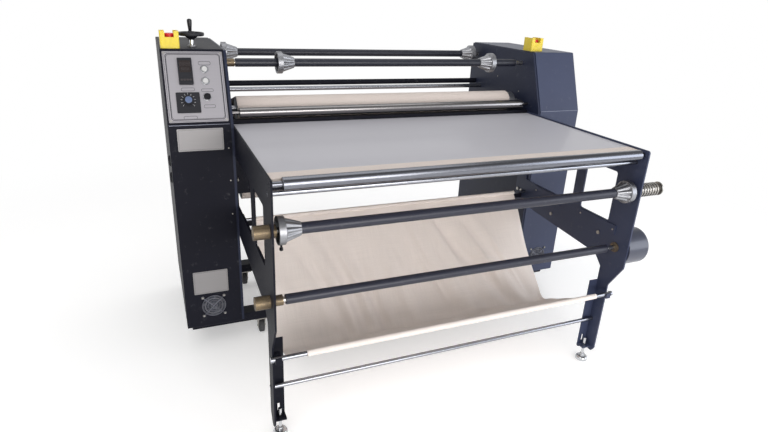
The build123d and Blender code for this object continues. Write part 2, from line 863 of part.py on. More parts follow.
def roll_shaft(y):
    """Shaft for a roll of fabric or paper between the two bearing walls."""
    end = wall_out + bearing_len - 2
    body = rod(-roll_shaft_half, roll_shaft_half, y, roll_z, roll_shaft_r)
    body = chamfer(body.edges().filter_by(GeomType.CIRCLE), 2)
    return body + rod(-end, end, y, roll_z, roll_journal_r)


def feed_shaft():
    """Front feed shaft with a journal at each end, the right one long enough for the brake."""
    brake_end = plate_out + part_gap + 2 * washer_t + spring_length()
    tube = rod(-feed_half, feed_half, feed_y, feed_z, feed_shaft_r)
    tube = chamfer(tube.edges().filter_by(GeomType.CIRCLE), 2)
    return tube + rod(-plate_out - bush_len + 2, brake_end + 12, feed_y, feed_z, journal_r)


def brake_washers():
    """Friction washer against the side frame, end washer and nut of the brake."""
    spring_end = plate_out + part_gap + washer_t + spring_length()
    stop = spring_end + washer_t
    first = ring(plate_out + part_gap, plate_out + part_gap + washer_t, feed_y, feed_z,
                 washer_r, journal_r + run_fit)
    last = ring(spring_end, stop, feed_y, feed_z, washer_r, journal_r + run_fit)
    nut_face = Plane.YZ.offset(stop) * Pos(feed_y, feed_z) * RegularPolygon(17, 6)
    nut = extrude(nut_face, 8) - rod(stop - 1, stop + 12, feed_y, feed_z, journal_r + run_fit)
    return [first, last, nut]


def spring_length():
    """Length of the brake spring along the shaft, ends included."""
    return spring_turns * spring_pitch + 2 * (spring_bend + spring_wire)


def brake_spring():
    """Compression spring as one unbroken wire of half-turn arcs with square ends."""
    start = plate_out + part_gap + washer_t
    first = start + spring_wire + spring_bend
    half_pitch = spring_pitch / 2
    bulge = sqrt(spring_r ** 2 + (half_pitch / 2) ** 2)
    y0 = feed_y
    z0 = feed_z
    edges = [
        Line((start, y0 + spring_r, z0 - spring_bend),
             (start + spring_wire, y0 + spring_r, z0 - spring_bend)),
        ThreePointArc(
            (start + spring_wire, y0 + spring_r, z0 - spring_bend),
            (start + spring_wire + spring_bend * sin(pi / 4), y0 + spring_r,
             z0 - spring_bend * cos(pi / 4)),
            (first, y0 + spring_r, z0)),
    ]
    side = 1
    for i in range(2 * spring_turns):
        x = first + i * half_pitch
        edges.append(ThreePointArc(
            (x, y0 + side * spring_r, z0),
            (x + half_pitch / 2, y0, z0 + side * bulge),
            (x + half_pitch, y0 - side * spring_r, z0)))
        side = -side
    last = first + spring_turns * spring_pitch
    turned = last + spring_bend
    edges.append(ThreePointArc(
        (last, y0 + spring_r, z0),
        (last + spring_bend * (1 - cos(pi / 4)), y0 + spring_r, z0 + spring_bend * sin(pi / 4)),
        (turned, y0 + spring_r, z0 + spring_bend)))
    edges.append(Line((turned, y0 + spring_r, z0 + spring_bend),
                      (turned + spring_wire, y0 + spring_r, z0 + spring_bend)))
    path = Wire(edges)
    section = Plane(origin=path @ 0, z_dir=path % 0) * Circle(spring_wire / 2)
    print("brake spring least gap to itself", round(least_turn_gap(), 2), "mm")
    return sweep(section, path)


def least_turn_gap():
    """Least gap between parts of the wire that lie at least half a turn apart."""
    per_turn = 72
    wire = []
    for k in range(2 * per_turn + 1):
        angle = 2 * pi * k / per_turn
        wire.append((spring_pitch * k / per_turn, spring_r * cos(angle), spring_r * sin(angle)))
    least = 1e9
    for i, first in enumerate(wire):
        for second in wire[i + per_turn // 2:]:
            least = min(least, hypot(*(a - b for a, b in zip(first, second))))
    return least - spring_wire


def rewind_shaft():
    """Lower rewind shaft, its thinner right journal driven by the torque motor."""
    tube = rod(rewind_left, rewind_right, rewind_y, rewind_z, rewind_shaft_r)
    tube = chamfer(tube.edges().filter_by(GeomType.CIRCLE), 2)
    left = rod(-plate_out - bush_len + 2, rewind_left, rewind_y, rewind_z, journal_r)
    right = rod(rewind_right, rewind_journal_end, rewind_y, rewind_z, torque_shaft_r)
    return tube + left + right


def brass_bushes():
    """Brass bushes of the front shafts, of the left roll shaft ends and of the tension screw."""
    pieces = []
    for y, z, collar_len, collar_r in (
        (feed_y, feed_z, feed_collar_len, feed_collar_r),
        (rewind_y, rewind_z, rewind_collar_len, rewind_collar_r),
    ):
        outer = ring(plate_out, plate_out + bush_len, y, z, bush_r, journal_r + run_fit)
        outer = chamfer(outer.edges().filter_by(GeomType.CIRCLE).sort_by(Axis.X)[-1], 2)
        pieces.append(mirror(outer, about=mirror_plane))
        collar = ring(plate_in - collar_len, plate_in, y, z, collar_r, journal_r + run_fit)
        pieces.append(mirror(collar, about=mirror_plane))
    pieces.append(ring(plate_in - rewind_flange_t, plate_in, rewind_y, rewind_z, rewind_flange_r,
                       torque_shaft_r + run_fit))
    for y in (front_roll_y, rear_roll_y):
        outer = ring(roll_shaft_half + 3, plate_out, y, roll_z, bush_neck_r, roll_journal_r + run_fit)
        pieces.append(mirror(outer, about=mirror_plane))
    collar = post(wheel_x, wheel_y, cabinet_top, cabinet_top + 5, hub_r)
    collar -= post(wheel_x, wheel_y, cabinet_top - 1, cabinet_top + 6, screw_r + run_fit)
    pieces.append(collar)
    return pieces


def torque_motor():
    """Smooth round torque motor on the outside of the right side frame, with a domed end cap."""
    end = plate_out + torque_len
    body = rod(plate_out, end, rewind_y, rewind_z, torque_r)
    body = fillet(body.edges().filter_by(GeomType.CIRCLE).sort_by(Axis.X)[-1], torque_edge)
    cap = rod(end - 5, end + torque_cap_t, rewind_y, rewind_z, torque_cap_r)
    cap = fillet(cap.edges().filter_by(GeomType.CIRCLE).sort_by(Axis.X)[-1], torque_cap_t / 3)
    bore = rod(plate_out - 1, rewind_journal_end + 3, rewind_y, rewind_z, torque_shaft_r + run_fit)
    return body + cap - bore


def drive_gearmotor():
    """Hollow-shaft gear motor on the drum's right journal, standing off the bearing wall."""
    near = wall_out + bearing_len + 2
    half = gearbox / 2
    body = block(near, near + gearbox_t, drum_y - half, drum_y + half, drum_z - half, drum_z + half)
    body = fillet(body.edges().filter_by(Axis.X), 12)
    for side_y in (-1, 1):
        for side_z in (-1, 1):
            y = drum_y + side_y * (half - gearbox_foot)
            z = drum_z + side_z * (half - gearbox_foot)
            body += block(wall_out, near + 4, y - gearbox_foot / 2, y + gearbox_foot / 2,
                          z - gearbox_foot / 2, z + gearbox_foot / 2)
    middle_x = near + gearbox_t / 2
    body += post(middle_x, drum_y, drum_z - half - motor_len, drum_z - half + 2, motor_r)
    return body - rod(wall_out, near + gearbox_t + 1, drum_y, drum_z, drum_journal_r + run_fit)


def chrome_rods():
    """Table tube, rear guide bar, the two cloth bars and the low tie rod."""
    front_bar = rod(-plate_out, plate_out, cloth_bar_y, cloth_bar_z, cloth_bar_r)
    for x in (-plate_out - 8, plate_out):
        front_bar += rod(x, x + 8, cloth_bar_y, cloth_bar_z, cloth_bar_r + 2)
    return [
        rod(-plate_out, plate_out, table_tube_y, table_tube_z, table_tube_r),
        rod(-plate_out, plate_out, guide_bar_y, guide_bar_z, guide_bar_r),
        rod(-plate_out, plate_out, cloth_rear_y, cloth_rear_z, cloth_rear_r),
        front_bar,
        rod(-plate_out - 3, plate_out + 3, tie_rod_y, tie_rod_z, tie_rod_r),
    ]


def cloth_section(x, drop, slide):
    """Closed outline of the hanging cloth at one X: rear run, round belly and front run."""
    low_y = cloth_low_y + slide
    low_z = cloth_low_z + drop
    rear = (cloth_rear_y, cloth_rear_z - cloth_rear_r - part_gap - cloth_t / 2)
    front = (cloth_bar_y, cloth_bar_z - cloth_bar_r - part_gap - cloth_t / 2)
    back_knee = (low_y + 112, low_z + 92)
    front_knee = (low_y - 118, low_z + 66)
    points = [rear, back_knee, (low_y, low_z), front_knee, front]
    lines = []
    for lift in (cloth_t / 2, -cloth_t / 2):
        moved = [(py, pz + lift) for py, pz in points]
        lines.append((
            Line(moved[0], moved[1]),
            ThreePointArc(moved[1], moved[2], moved[3]),
            Line(moved[3], moved[4]),
            moved,
        ))
    top, low = lines
    edges = [*top[:3], Line(top[3][4], low[3][4]), *low[:3], Line(low[3][0], top[3][0])]
    return Plane.YZ.offset(x) * make_face(edges)


def catch_cloth():
    """Cotton catch cloth hung between two bars, its belly rippled by soft folds."""
    sections = []
    for i in range(cloth_stations):
        share = i / (cloth_stations - 1)
        x = cloth_left + (cloth_right - cloth_left) * share
        drop = fold_depth * sin(2.6 * pi * share)
        slide = 2 * fold_depth * cos(1.7 * pi * share)
        sections.append(cloth_section(x, drop, slide))
    body = loft(sections, ruled=True)
    for y, z, radius in (
        (cloth_rear_y, cloth_rear_z, cloth_rear_r),
        (cloth_bar_y, cloth_bar_z, cloth_bar_r),
    ):
        body += ring(cloth_left, cloth_right, y, z, radius + part_gap + cloth_t, radius + part_gap)
    return body


def fan_place(x):
    """Plane on the cabinet front at a fan's centre, facing forwards."""
    return Plane(origin=(x, cabinet_front, fan_z), x_dir=(1, 0, 0), z_dir=(0, -1, 0))


def fan_housings():
    """Fan frames behind the cabinet fronts and wire guards in front of them."""
    pieces = []
    for x in (left_fan_x, right_fan_x):
        frame = Pos(0, 0, -sheet_t) * Box(fan_frame, fan_frame, fan_frame_t,
                                          align=(Align.CENTER, Align.CENTER, Align.MAX))
        bore = Pos(0, 0, -sheet_t - fan_frame_t + 4) * up_cylinder(fan_r + 2, fan_frame_t + 2)
        pin = Pos(0, 0, -sheet_t - fan_frame_t) * up_cylinder(3, fan_frame_t - 8)
        pieces.append(fan_place(x) * (frame - bore + pin))
        guard = Box(2 * guard_wire, fan_frame - 4, guard_wire, align=(Align.CENTER, Align.CENTER, Align.MIN))
        guard += Rot(0, 0, 90) * guard
        guard = Rot(0, 0, 45) * guard
        for i in range(guard_rings):
            radius = fan_r + 2 - i * 11
            hoop = up_cylinder(radius, guard_wire) - up_cylinder(radius - guard_wire, guard_wire)
            guard += hoop
        lug = (fan_frame - 18) / 2
        for side_x in (-1, 1):
            for side_y in (-1, 1):
                guard += Pos(side_x * lug, side_y * lug, 0) * up_cylinder(6, guard_wire)
        pieces.append(fan_place(x) * guard)
    return pieces


def fan_rotor(x):
    """Fan rotor with pitched blades round its hub."""
    depth = fan_frame_t - 9
    low = -sheet_t - fan_frame_t + 5
    body = up_cylinder(fan_hub_r, depth)
    for i in range(fan_blades):
        blade = Pos((fan_hub_r + fan_r) / 2 - 2, 0, depth / 2) * Rot(35, 0, 0) * Box(
            fan_r - fan_hub_r + 2, 20, 1.8)
        body += Rot(0, 0, i * 360 / fan_blades) * blade
    body -= Pos(0, 0, -1) * up_cylinder(3 + run_fit, depth - 2)
    return fan_place(x) * Pos(0, 0, low) * body


def control_electronics():
    """Mounting board, speed drive and two relays on the left bearing wall, inside the cabinet."""
    face = -wall_out - board_t
    rear_row = (board_front + 190, board_rear - 30)
    return [
        block(face, -wall_out, board_front, board_rear, board_low, board_high),
        block(face - 75, face, board_front + 30, board_front + 160, board_low + 80, board_high - 60),
        block(face - 45, face, *rear_row, board_low + 110, board_low + 170),
        block(face - 37, face, *rear_row, board_low + 210, board_low + 260),
    ]


def fasteners():
    """Panel and fan screws, frame bolts, and the screws of the bars on the arms."""
    pieces = []
    inset = 6
    for x in (-1, 1):
        for v in (panel_low + inset, panel_low + panel_height - inset):
            head = up_cylinder(screw_head_r, screw_head_t)
            pieces.append(on_panel(x * (panel_width / 2 - inset), v, head, panel_t))
    lug = (fan_frame - 18) / 2
    for fan_x in (left_fan_x, right_fan_x):
        for x in (-lug, lug):
            for z in (-lug, lug):
                head = up_cylinder(screw_head_r, screw_head_t)
                pieces.append(fan_place(fan_x) * Pos(x, z, guard_wire) * head)
    for y in (window_rear + 20, frame_rear - 18):
        for z in (arm_bottom_rear + 60, (arm_top + beam_bottom) / 2, beam_bottom + 20):
            pieces += both_sides(rod(plate_in - bolt_head_t, plate_in, y, z, bolt_head_r))
    for y, z in ((133, 560), (424, 530)):
        pieces += both_sides(rod(plate_in - bolt_head_t, plate_in, y, z, bolt_head_r))
    face = plate_in - strip_t
    for low_y, high_y in (front_strip, rear_strip):
        for y in (low_y + 12, high_y - 12):
            head = rod(face - screw_head_t, face, y, strip_low + strip_h / 2, screw_head_r)
            pieces += both_sides(head)
    return pieces


def build_nodes():
    """Every node of the machine as a list of separate solids, in its own frame."""
    right_frame = side_frame()
    right_leg = leg() + arm_strips()
    right_foot = levelling_foot()
    cover = cabinet_cover()
    wall = bearing_wall([])
    fan_hole = Cylinder(fan_r + 2, 30)
    left_cover = mirror(cover, about=mirror_plane) - panel_holes() - fan_place(left_fan_x) * fan_hole
    left_cover -= post(wheel_x, wheel_y, cabinet_top - 10, cabinet_top + 10, screw_r + run_fit)
    left_cover -= post(left_estop_x, left_estop_y, cabinet_top - 10, cabinet_top + 10,
                       estop_barrel_r + run_fit)
    right_cover = cover - fan_place(right_fan_x) * fan_hole
    right_cover -= post(right_estop_x, right_estop_y, cabinet_top - 10, cabinet_top + 10,
                        estop_barrel_r + run_fit)
    guide_end = wall_out + bearing_len - 2
    nodes = {
        "left_side_frame": [mirror(piece, about=mirror_plane) for piece in (right_frame, *right_leg)],
        "right_side_frame": [right_frame, *right_leg],
        "left_levelling_foot": [mirror(right_foot, about=mirror_plane)],
        "right_levelling_foot": [right_foot],
        "bearing_walls": both_sides(wall),
        "left_cabinet_cover": [left_cover],
        "right_cabinet_cover": [right_cover],
        "cross_beams": cross_beams(),
        "castor_forks": [castor_fork(x, y) for x in (-castor_x, castor_x)
                         for y in (front_beam_y, rear_beam_y)],
        "front_left_castor_wheel": [castor_wheel(-castor_x, front_beam_y)],
        "front_right_castor_wheel": [castor_wheel(castor_x, front_beam_y)],
        "rear_left_castor_wheel": [castor_wheel(-castor_x, rear_beam_y)],
        "rear_right_castor_wheel": [castor_wheel(castor_x, rear_beam_y)],
        "control_panel": [control_panel()],
        "temperature_controller": [temperature_controller()],
        "speed_dial": [speed_dial()],
        "speed_knob": [speed_knob()],
        "switch_bezels": switch_bezels(),
        "selector_knob": [selector_knob()],
        "start_button": [push_button(start_v)],
        "stop_button": [push_button(stop_v)],
        "estop_guards": [estop_guard_at(left_estop_x, left_estop_y),
                         estop_guard_at(right_estop_x, right_estop_y)],
        "left_estop_button": [estop_button(left_estop_x, left_estop_y)],
        "right_estop_button": [estop_button(right_estop_x, right_estop_y)],
        "handwheel": handwheel(),
        "handwheel_grip": [handwheel_grip()],
        "tension_nut": [tension_nut()],
        "heated_drum": heated_drum(),
        "heating_tubes": heating_tubes(),
        "roller_bearings": bearings(),
        "felt_blanket": [felt_blanket()],
        "nip_roller": [roller(guide_len / 2, nip_y, nip_z, nip_r, nip_journal_r, -guide_end, guide_end)],
        "front_roller": [Pos(front_roller_shift, 0, 0) * roller(
            front_roller_len / 2, 0, front_roller_z, front_roller_r, front_journal_r,
            -plate_out - front_roller_shift, plate_out - front_roller_shift)],
        "table_board": [table_board()],
        "table_felt": [table_felt()],
        "front_roll_shaft": [roll_shaft(front_roll_y)],
        "rear_roll_shaft": [roll_shaft(rear_roll_y)],
        "feed_shaft": [feed_shaft()],
        "rewind_shaft": [rewind_shaft()],
        "feed_left_cone": cone(feed_cone_left, -1, feed_y, feed_z, feed_shaft_r, 180),
        "feed_right_cone": cone(feed_cone_right, 1, feed_y, feed_z, feed_shaft_r, 246),
        "front_roll_left_cone": cone(front_cone_left, -1, front_roll_y, roll_z, roll_shaft_r, 290),
        "front_roll_right_cone": cone(front_cone_right, 1, front_roll_y, roll_z, roll_shaft_r, 246),
        "rear_roll_left_cone": cone(rear_cone_left, -1, rear_roll_y, roll_z, roll_shaft_r, 246),
        "rear_roll_right_cone": cone(rear_cone_right, 1, rear_roll_y, roll_z, roll_shaft_r, 246),
        "brass_bushes": brass_bushes(),
        "brake_spring": [brake_spring(), *brake_washers()],
        "torque_motor": [torque_motor()],
        "drive_gearmotor": [drive_gearmotor()],
        "chrome_rods": chrome_rods(),
        "catch_cloth": [catch_cloth()],
        "fan_housings": fan_housings(),
        "left_fan_rotor": [fan_rotor(left_fan_x)],
        "right_fan_rotor": [fan_rotor(right_fan_x)],
        "fasteners": fasteners(),
        "control_electronics": control_electronics(),
    }
    for name, centre, radius in (
        ("front_top_guide_roller", front_top, front_guide_r),
        ("front_low_guide_roller", front_low, front_guide_r),
        ("rear_top_guide_roller", rear_top, rear_guide_r),
        ("rear_low_guide_roller", rear_low, rear_guide_r),
    ):
        nodes[name] = [roller(guide_len / 2, *centre, radius, guide_journal_r, -guide_end, guide_end)]
    return nodes


def overall_box(nodes):
    """Corners of the box round every solid."""
    boxes = [piece.bounding_box() for pieces in nodes.values() for piece in pieces]
    low = [min(getattr(box.min, axis) for box in boxes) for axis in "XYZ"]
    high = [max(getattr(box.max, axis) for box in boxes) for axis in "XYZ"]
    return low, high


machine = build_nodes()
low_corner, high_corner = overall_box(machine)
origin_shift = (-(low_corner[0] + high_corner[0]) / 2, -(low_corner[1] + high_corner[1]) / 2,
                -low_corner[2])
os.makedirs("parts", exist_ok=True)
for node_name, node_pieces in machine.items():
    solids = [solid for piece in node_pieces for solid in piece.solids()]
    moved_solids = [Pos(*origin_shift) * solid for solid in solids]
    if len(moved_solids) == 1:
        export_step(moved_solids[0], f"parts/{node_name}.step")
    else:
        export_step(Compound(children=moved_solids), f"parts/{node_name}.step")
print("nodes", len(machine), "origin shift", [round(value, 3) for value in origin_shift])
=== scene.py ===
"""Looks of a rotary heat press: its finishes, felts, catch cloth, clamping cones and trim."""
import logging
import math
from dataclasses import dataclass
from enum import Enum
from typing import Any, Callable, Iterable, Optional, Sequence

import bmesh
import bpy
import numpy as np
from mathutils import Matrix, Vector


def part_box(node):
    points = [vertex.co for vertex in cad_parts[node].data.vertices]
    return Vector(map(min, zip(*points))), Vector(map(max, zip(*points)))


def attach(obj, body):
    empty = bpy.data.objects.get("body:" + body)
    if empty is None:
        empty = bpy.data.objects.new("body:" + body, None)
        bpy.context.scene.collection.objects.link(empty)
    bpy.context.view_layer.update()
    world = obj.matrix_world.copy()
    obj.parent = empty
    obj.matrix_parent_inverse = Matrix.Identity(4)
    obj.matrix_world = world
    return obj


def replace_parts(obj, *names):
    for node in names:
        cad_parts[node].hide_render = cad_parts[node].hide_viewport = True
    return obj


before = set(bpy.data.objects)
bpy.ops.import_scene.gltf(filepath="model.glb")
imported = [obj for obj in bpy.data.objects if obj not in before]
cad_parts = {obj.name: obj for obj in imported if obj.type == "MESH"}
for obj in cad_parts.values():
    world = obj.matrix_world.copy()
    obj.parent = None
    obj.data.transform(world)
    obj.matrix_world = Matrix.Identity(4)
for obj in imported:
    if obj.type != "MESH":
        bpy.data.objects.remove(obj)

log = logging.getLogger("heat_press")
Colour = tuple[float, float, float]
Inputs = Optional[dict[Any, Any]]
ROOT = "machine_frame"
X_AXIS = np.array([1.0, 0.0, 0.0])
Y_AXIS = np.array([0.0, 1.0, 0.0])
Z_AXIS = np.array([0.0, 0.0, 1.0])
# In metres: points this near merge, edges this short go, and a hair's breadth apart.
MERGE = 1e-6
COLLAPSE = 1e-7
HAIR = 0.0003
BLACK: Colour = (0.0, 0.0, 0.0)
WHITE: Colour = (1.0, 1.0, 1.0)


def operator(operation: str, flipped: bool = False) -> Callable[["Value", Any], "Value"]:
    """Method that joins a Value and another operand by one Math node.

    Args:
        operation: The Math node's operation.
        flipped: Whether the other operand comes first.

    Returns:
        The method.
    """
    def method(self: "Value", other: Any) -> "Value":
        """The two operands joined by the Math node."""
        return self.math(operation, other, self) if flipped else self.math(operation, self, other)

    return method


class Value:
    """A socket in a shader expression, whose operators add Math nodes to its tree."""

    def __init__(self, dye: "Dye", socket: bpy.types.NodeSocket) -> None:
        """Keeps the tree and the socket."""
        self.dye = dye
        self.socket = socket

    def math(self, operation: str, *operands: Any) -> "Value":
        """Adds one Math node.

        Args:
            operation: The Math node's operation.
            operands: Its inputs in order, each a Value or a number.

        Returns:
            The node's result.
        """
        return self.dye.read("ShaderNodeMath", 0, dict(enumerate(operands)), operation=operation)

    __add__ = operator("ADD")
    __radd__ = operator("ADD", flipped=True)
    __sub__ = operator("SUBTRACT")
    __rsub__ = operator("SUBTRACT", flipped=True)
    __mul__ = operator("MULTIPLY")
    __rmul__ = operator("MULTIPLY", flipped=True)
    __pow__ = operator("POWER")

    def sine(self) -> "Value":
        """Sine of the value."""
        return self.math("SINE", self)

    def step(self, low: float, high: float) -> "Value":
        """0 below low, 1 above high, and a smooth rise between them.

        Args:
            low: Value where the rise starts.
            high: Value where it ends.

        Returns:
            The smooth step.
        """
        inputs = {"Value": self, "From Min": low, "From Max": high}
        settings = {"interpolation_type": "SMOOTHSTEP"}
        return self.dye.read("ShaderNodeMapRange", "Result", inputs, **settings)


class Dye:
    """One node tree, with short ways to the textures that the finishes use."""

    def __init__(self, tree: bpy.types.NodeTree) -> None:
        """Empties a tree, to be filled anew."""
        self.tree = tree
        self.tree.nodes.clear()

    def join(self, source: bpy.types.Node, target: bpy.types.Node, place: Any) -> None:
        """Links a node's first output to another node's input."""
        self.tree.links.new(source.outputs[0], target.inputs[place])

    def put(self, socket: bpy.types.NodeSocket, value: Any) -> None:
        """Links a Value to a socket, or sets a number, colour or vector on it.

        Args:
            socket: The input.
            value: A Value, number, colour or vector.
        """
        if isinstance(value, Value):
            self.tree.links.new(value.socket, socket)
        elif isinstance(value, (tuple, list)) and socket.type == "RGBA" and len(value) == 3:
            socket.default_value = (*value, 1.0)
        else:
            socket.default_value = value

    def node(self, kind: str, inputs: Inputs = None, **settings: Any) -> bpy.types.Node:
        """Adds a node.

        Args:
            kind: The node's type.
            inputs: Its sockets by name or number, with their values or links.
            settings: Its settings, which are set first.

        Returns:
            The new node.
        """
        made = self.tree.nodes.new(kind)
        for key, value in settings.items():
            setattr(made, key, value)
        for key, value in (inputs or {}).items():
            self.put(made.inputs[key], value)
        return made

    def read(self, kind: str, output: Any, inputs: Inputs = None, **settings: Any) -> Value:
        """Adds a node as node() does, and gives one of its outputs by name or number."""
        return Value(self, self.node(kind, inputs, **settings).outputs[output])

    def place(self) -> Value:
        """Object coordinates, in metres."""
        return self.read("ShaderNodeTexCoord", "Object")

    def flat(self) -> Value:
        """The piece's own UV map, in metres of cloth."""
        return self.read("ShaderNodeTexCoord", "UV")

    def stretched(self, vector: Value, scale: Sequence[float]) -> Value:
        """The vector with each axis scaled by itself."""
        return self.read("ShaderNodeMapping", 0, {"Vector": vector, "Scale": tuple(scale)})

    def part(self, vector: Value, axis: int) -> Value:
        """One component of a vector."""
        return self.read("ShaderNodeSeparateXYZ", axis, {0: vector})

    def noise(self, vector: Value, scale: float, detail: float = 2.0, rough: float = 0.5) -> Value:
        """Noise from 0 to 1.

        Args:
            vector: Where it is read.
            scale: Cells per metre.
            detail: Octaves.
            rough: How much the small octaves count.

        Returns:
            The noise's value.
        """
        inputs = {"Vector": vector, "Scale": scale, "Detail": detail, "Roughness": rough}
        return self.read("ShaderNodeTexNoise", 0, inputs)

    def cells(self, vector: Value, scale: float) -> Value:
        """Distance to the nearest of scattered points, for grains and pores."""
        return self.read("ShaderNodeTexVoronoi", "Distance", {"Vector": vector, "Scale": scale})

    def tint(self, share: Any, first: Any, second: Any) -> Value:
        """Colour that goes from first to second as share goes from 0 to 1."""
        inputs = {0: share, 6: first, 7: second}
        return self.read("ShaderNodeMix", 2, inputs, data_type="RGBA", clamp_factor=True)

    def grey(self, share: Any) -> Value:
        """Grey from black at 0 to white at 1."""
        return self.tint(share, BLACK, WHITE)

    def relief(self, height: Value, depth: float, strength: float = 1.0) -> Value:
        """Bumped normal from a height between 0 and 1 over a depth in metres."""
        inputs = {"Height": height, "Distance": depth, "Strength": strength}
        return self.read("ShaderNodeBump", 0, inputs)

    def blend(self, share: Any, first: bpy.types.Node, second: bpy.types.Node) -> bpy.types.Node:
        """Shader that goes from first to second as share goes from 0 to 1.

        Args:
            share: A Value or number from 0 to 1.
            first: Shader at 0.
            second: Shader at 1.

        Returns:
            The mix.
        """
        mix = self.node("ShaderNodeMixShader", {0: share})
        self.join(first, mix, 1)
        self.join(second, mix, 2)
        return mix


class Paint(Dye):
    """A material's node tree, with its Principled shader and its output."""

    def __init__(self, name: str) -> None:
        """Starts the material.

        Args:
            name: The material's name.
        """
        self.made = bpy.data.materials.new(name)
        self.made.use_nodes = True
        super().__init__(self.made.node_tree)
        self.shader = self.node("ShaderNodeBsdfPrincipled")
        self.output = self.node("ShaderNodeOutputMaterial")
        self.join(self.shader, self.output, "Surface")

    def finish(self, **inputs: Any) -> None:
        """Sets the shader's sockets. Underscores in the names stand for spaces."""
        for key, value in inputs.items():
            self.put(self.shader.inputs[key.replace("_", " ")], value)


def shade(colour: Colour, factor: float) -> Colour:
    """A lighter or darker version of a colour."""
    return tuple(min(1.0, part * factor) for part in colour)


@dataclass(frozen=True)
class Finish:
    """A finish with its name, colour and roughness."""

    name: str
    colour: Colour
    roughness: float = 0.5

    def dress(self, dye: Paint) -> None:
        """Fills the material's tree."""
        raise NotImplementedError

    def toned(self, dye: Dye, share: Any, dark: float, light: float) -> Value:
        """The finish's colour times dark where share is 0 and times light where it is 1."""
        return dye.tint(share, shade(self.colour, dark), shade(self.colour, light))

    def material(self) -> bpy.types.Material:
        """The material of this finish, made on first use.

        Returns:
            The material.
        """
        name = "look_" + self.name
        known = bpy.data.materials.get(name)
        if known:
            return known
        dye = Paint(name)
        self.dress(dye)
        return dye.made


@dataclass(frozen=True)
class PowderCoat(Finish):
    """Baked powder on sheet steel: fine orange peel, faint clouds and a little dust."""

    peel: float = 900.0
    depth: float = 0.00025
    gloss: float = 0.25

    def dress(self, dye: Paint) -> None:
        """Peel feeds the relief and gloss, clouds and dust feed the colour.

        Args:
            dye: The material's tree.
        """
        place = dye.place()
        peel = dye.noise(place, self.peel, 2.0)
        cloud = dye.noise(place, 3.5, 3.0)
        dust = dye.noise(place, 45.0, 5.0, 0.65).step(0.58, 0.8)
        base = self.toned(dye, cloud, 0.8, 1.25)
        dye.finish(
            Base_Color=dye.tint(dust * 0.12, base, (0.3, 0.3, 0.31)),
            Roughness=self.roughness + (cloud - 0.5) * 0.12 + (peel - 0.5) * 0.15,
            Specular_IOR_Level=self.gloss,
            Normal=dye.relief(peel, self.depth, 0.6),
        )


@dataclass(frozen=True)
class PaintedTube(Finish):
    """Satin black paint on a shaft, with bare turned steel journals at its two ends."""

    low: float = -0.63
    high: float = 0.63
    fade: float = 0.0006
    steel: Colour = (0.5, 0.49, 0.48)

    def dress(self, dye: Paint) -> None:
        """A mask on X parts the paint from the bare ends, and rings across X mark the steel.

        Args:
            dye: The material's tree.
        """
        place = dye.place()
        x = dye.part(place, 0)
        right = x.step(self.high, self.high + self.fade)
        bare = right + (x * -1.0).step(-self.low, -self.low + self.fade)
        ring = dye.noise(dye.stretched(place, (700.0, 14.0, 14.0)), 1.0, 3.0, 0.6)
        cloud = dye.noise(place, 5.0, 3.0)
        dust = dye.noise(place, 60.0, 5.0, 0.65).step(0.56, 0.8)
        paint = self.toned(dye, cloud, 0.85, 1.2)
        dusty = dye.tint(dust * 0.15, paint, (0.2, 0.2, 0.21))
        metal = dye.tint(ring, shade(self.steel, 0.8), shade(self.steel, 1.1))
        dye.finish(
            Base_Color=dye.tint(bare, dusty, metal),
            Metallic=bare,
            Roughness=self.roughness - bare * 0.1 + (ring - 0.5) * 0.08 + (cloud - 0.5) * 0.08,
            Specular_IOR_Level=0.4,
            Normal=dye.relief(ring, 0.00003, 0.4),
        )


@dataclass(frozen=True)
class TurnedMetal(Finish):
    """Metal turned or ground round an axis, so that its fine marks are rings across it."""

    axis: int = 0
    rings: float = 700.0
    marks: float = 0.1

    def dress(self, dye: Paint) -> None:
        """Noise stretched into rings feeds the gloss, the colour and a very low relief.

        Args:
            dye: The material's tree.
        """
        place = dye.place()
        scale = [14.0, 14.0, 14.0]
        scale[self.axis] = self.rings
        ring = dye.noise(dye.stretched(place, scale), 1.0, 3.0, 0.6)
        smear = dye.noise(place, 9.0, 4.0)
        dye.finish(
            Base_Color=self.toned(dye, ring, 0.86, 1.08),
            Metallic=1.0,
            Roughness=self.roughness + (ring - 0.5) * self.marks + (smear - 0.5) * 0.08,
            Normal=dye.relief(ring, 0.00004, 0.5),
        )


@dataclass(frozen=True)
class CastMetal(Finish):
    """Sand-cast metal with grain, pits and darker hollows in its skin."""

    grain: float = 520.0

    def dress(self, dye: Paint) -> None:
        """Grain and pits feed the relief, and a broad mottle feeds the colour.

        Args:
            dye: The material's tree.
        """
        place = dye.place()
        grain = dye.noise(place, self.grain, 4.0, 0.6)
        pits = dye.cells(place, self.grain * 0.6).step(0.0, 0.35)
        mottle = dye.noise(place, 60.0, 4.0, 0.6)
        base = self.toned(dye, mottle, 0.72, 1.15)
        dye.finish(
            Base_Color=dye.tint(pits, shade(self.colour, 0.5), base),
            Metallic=1.0,
            Roughness=self.roughness + (mottle - 0.5) * 0.25,
            Normal=dye.relief(grain * 0.6 + pits * 0.4, 0.00035, 0.8),
        )


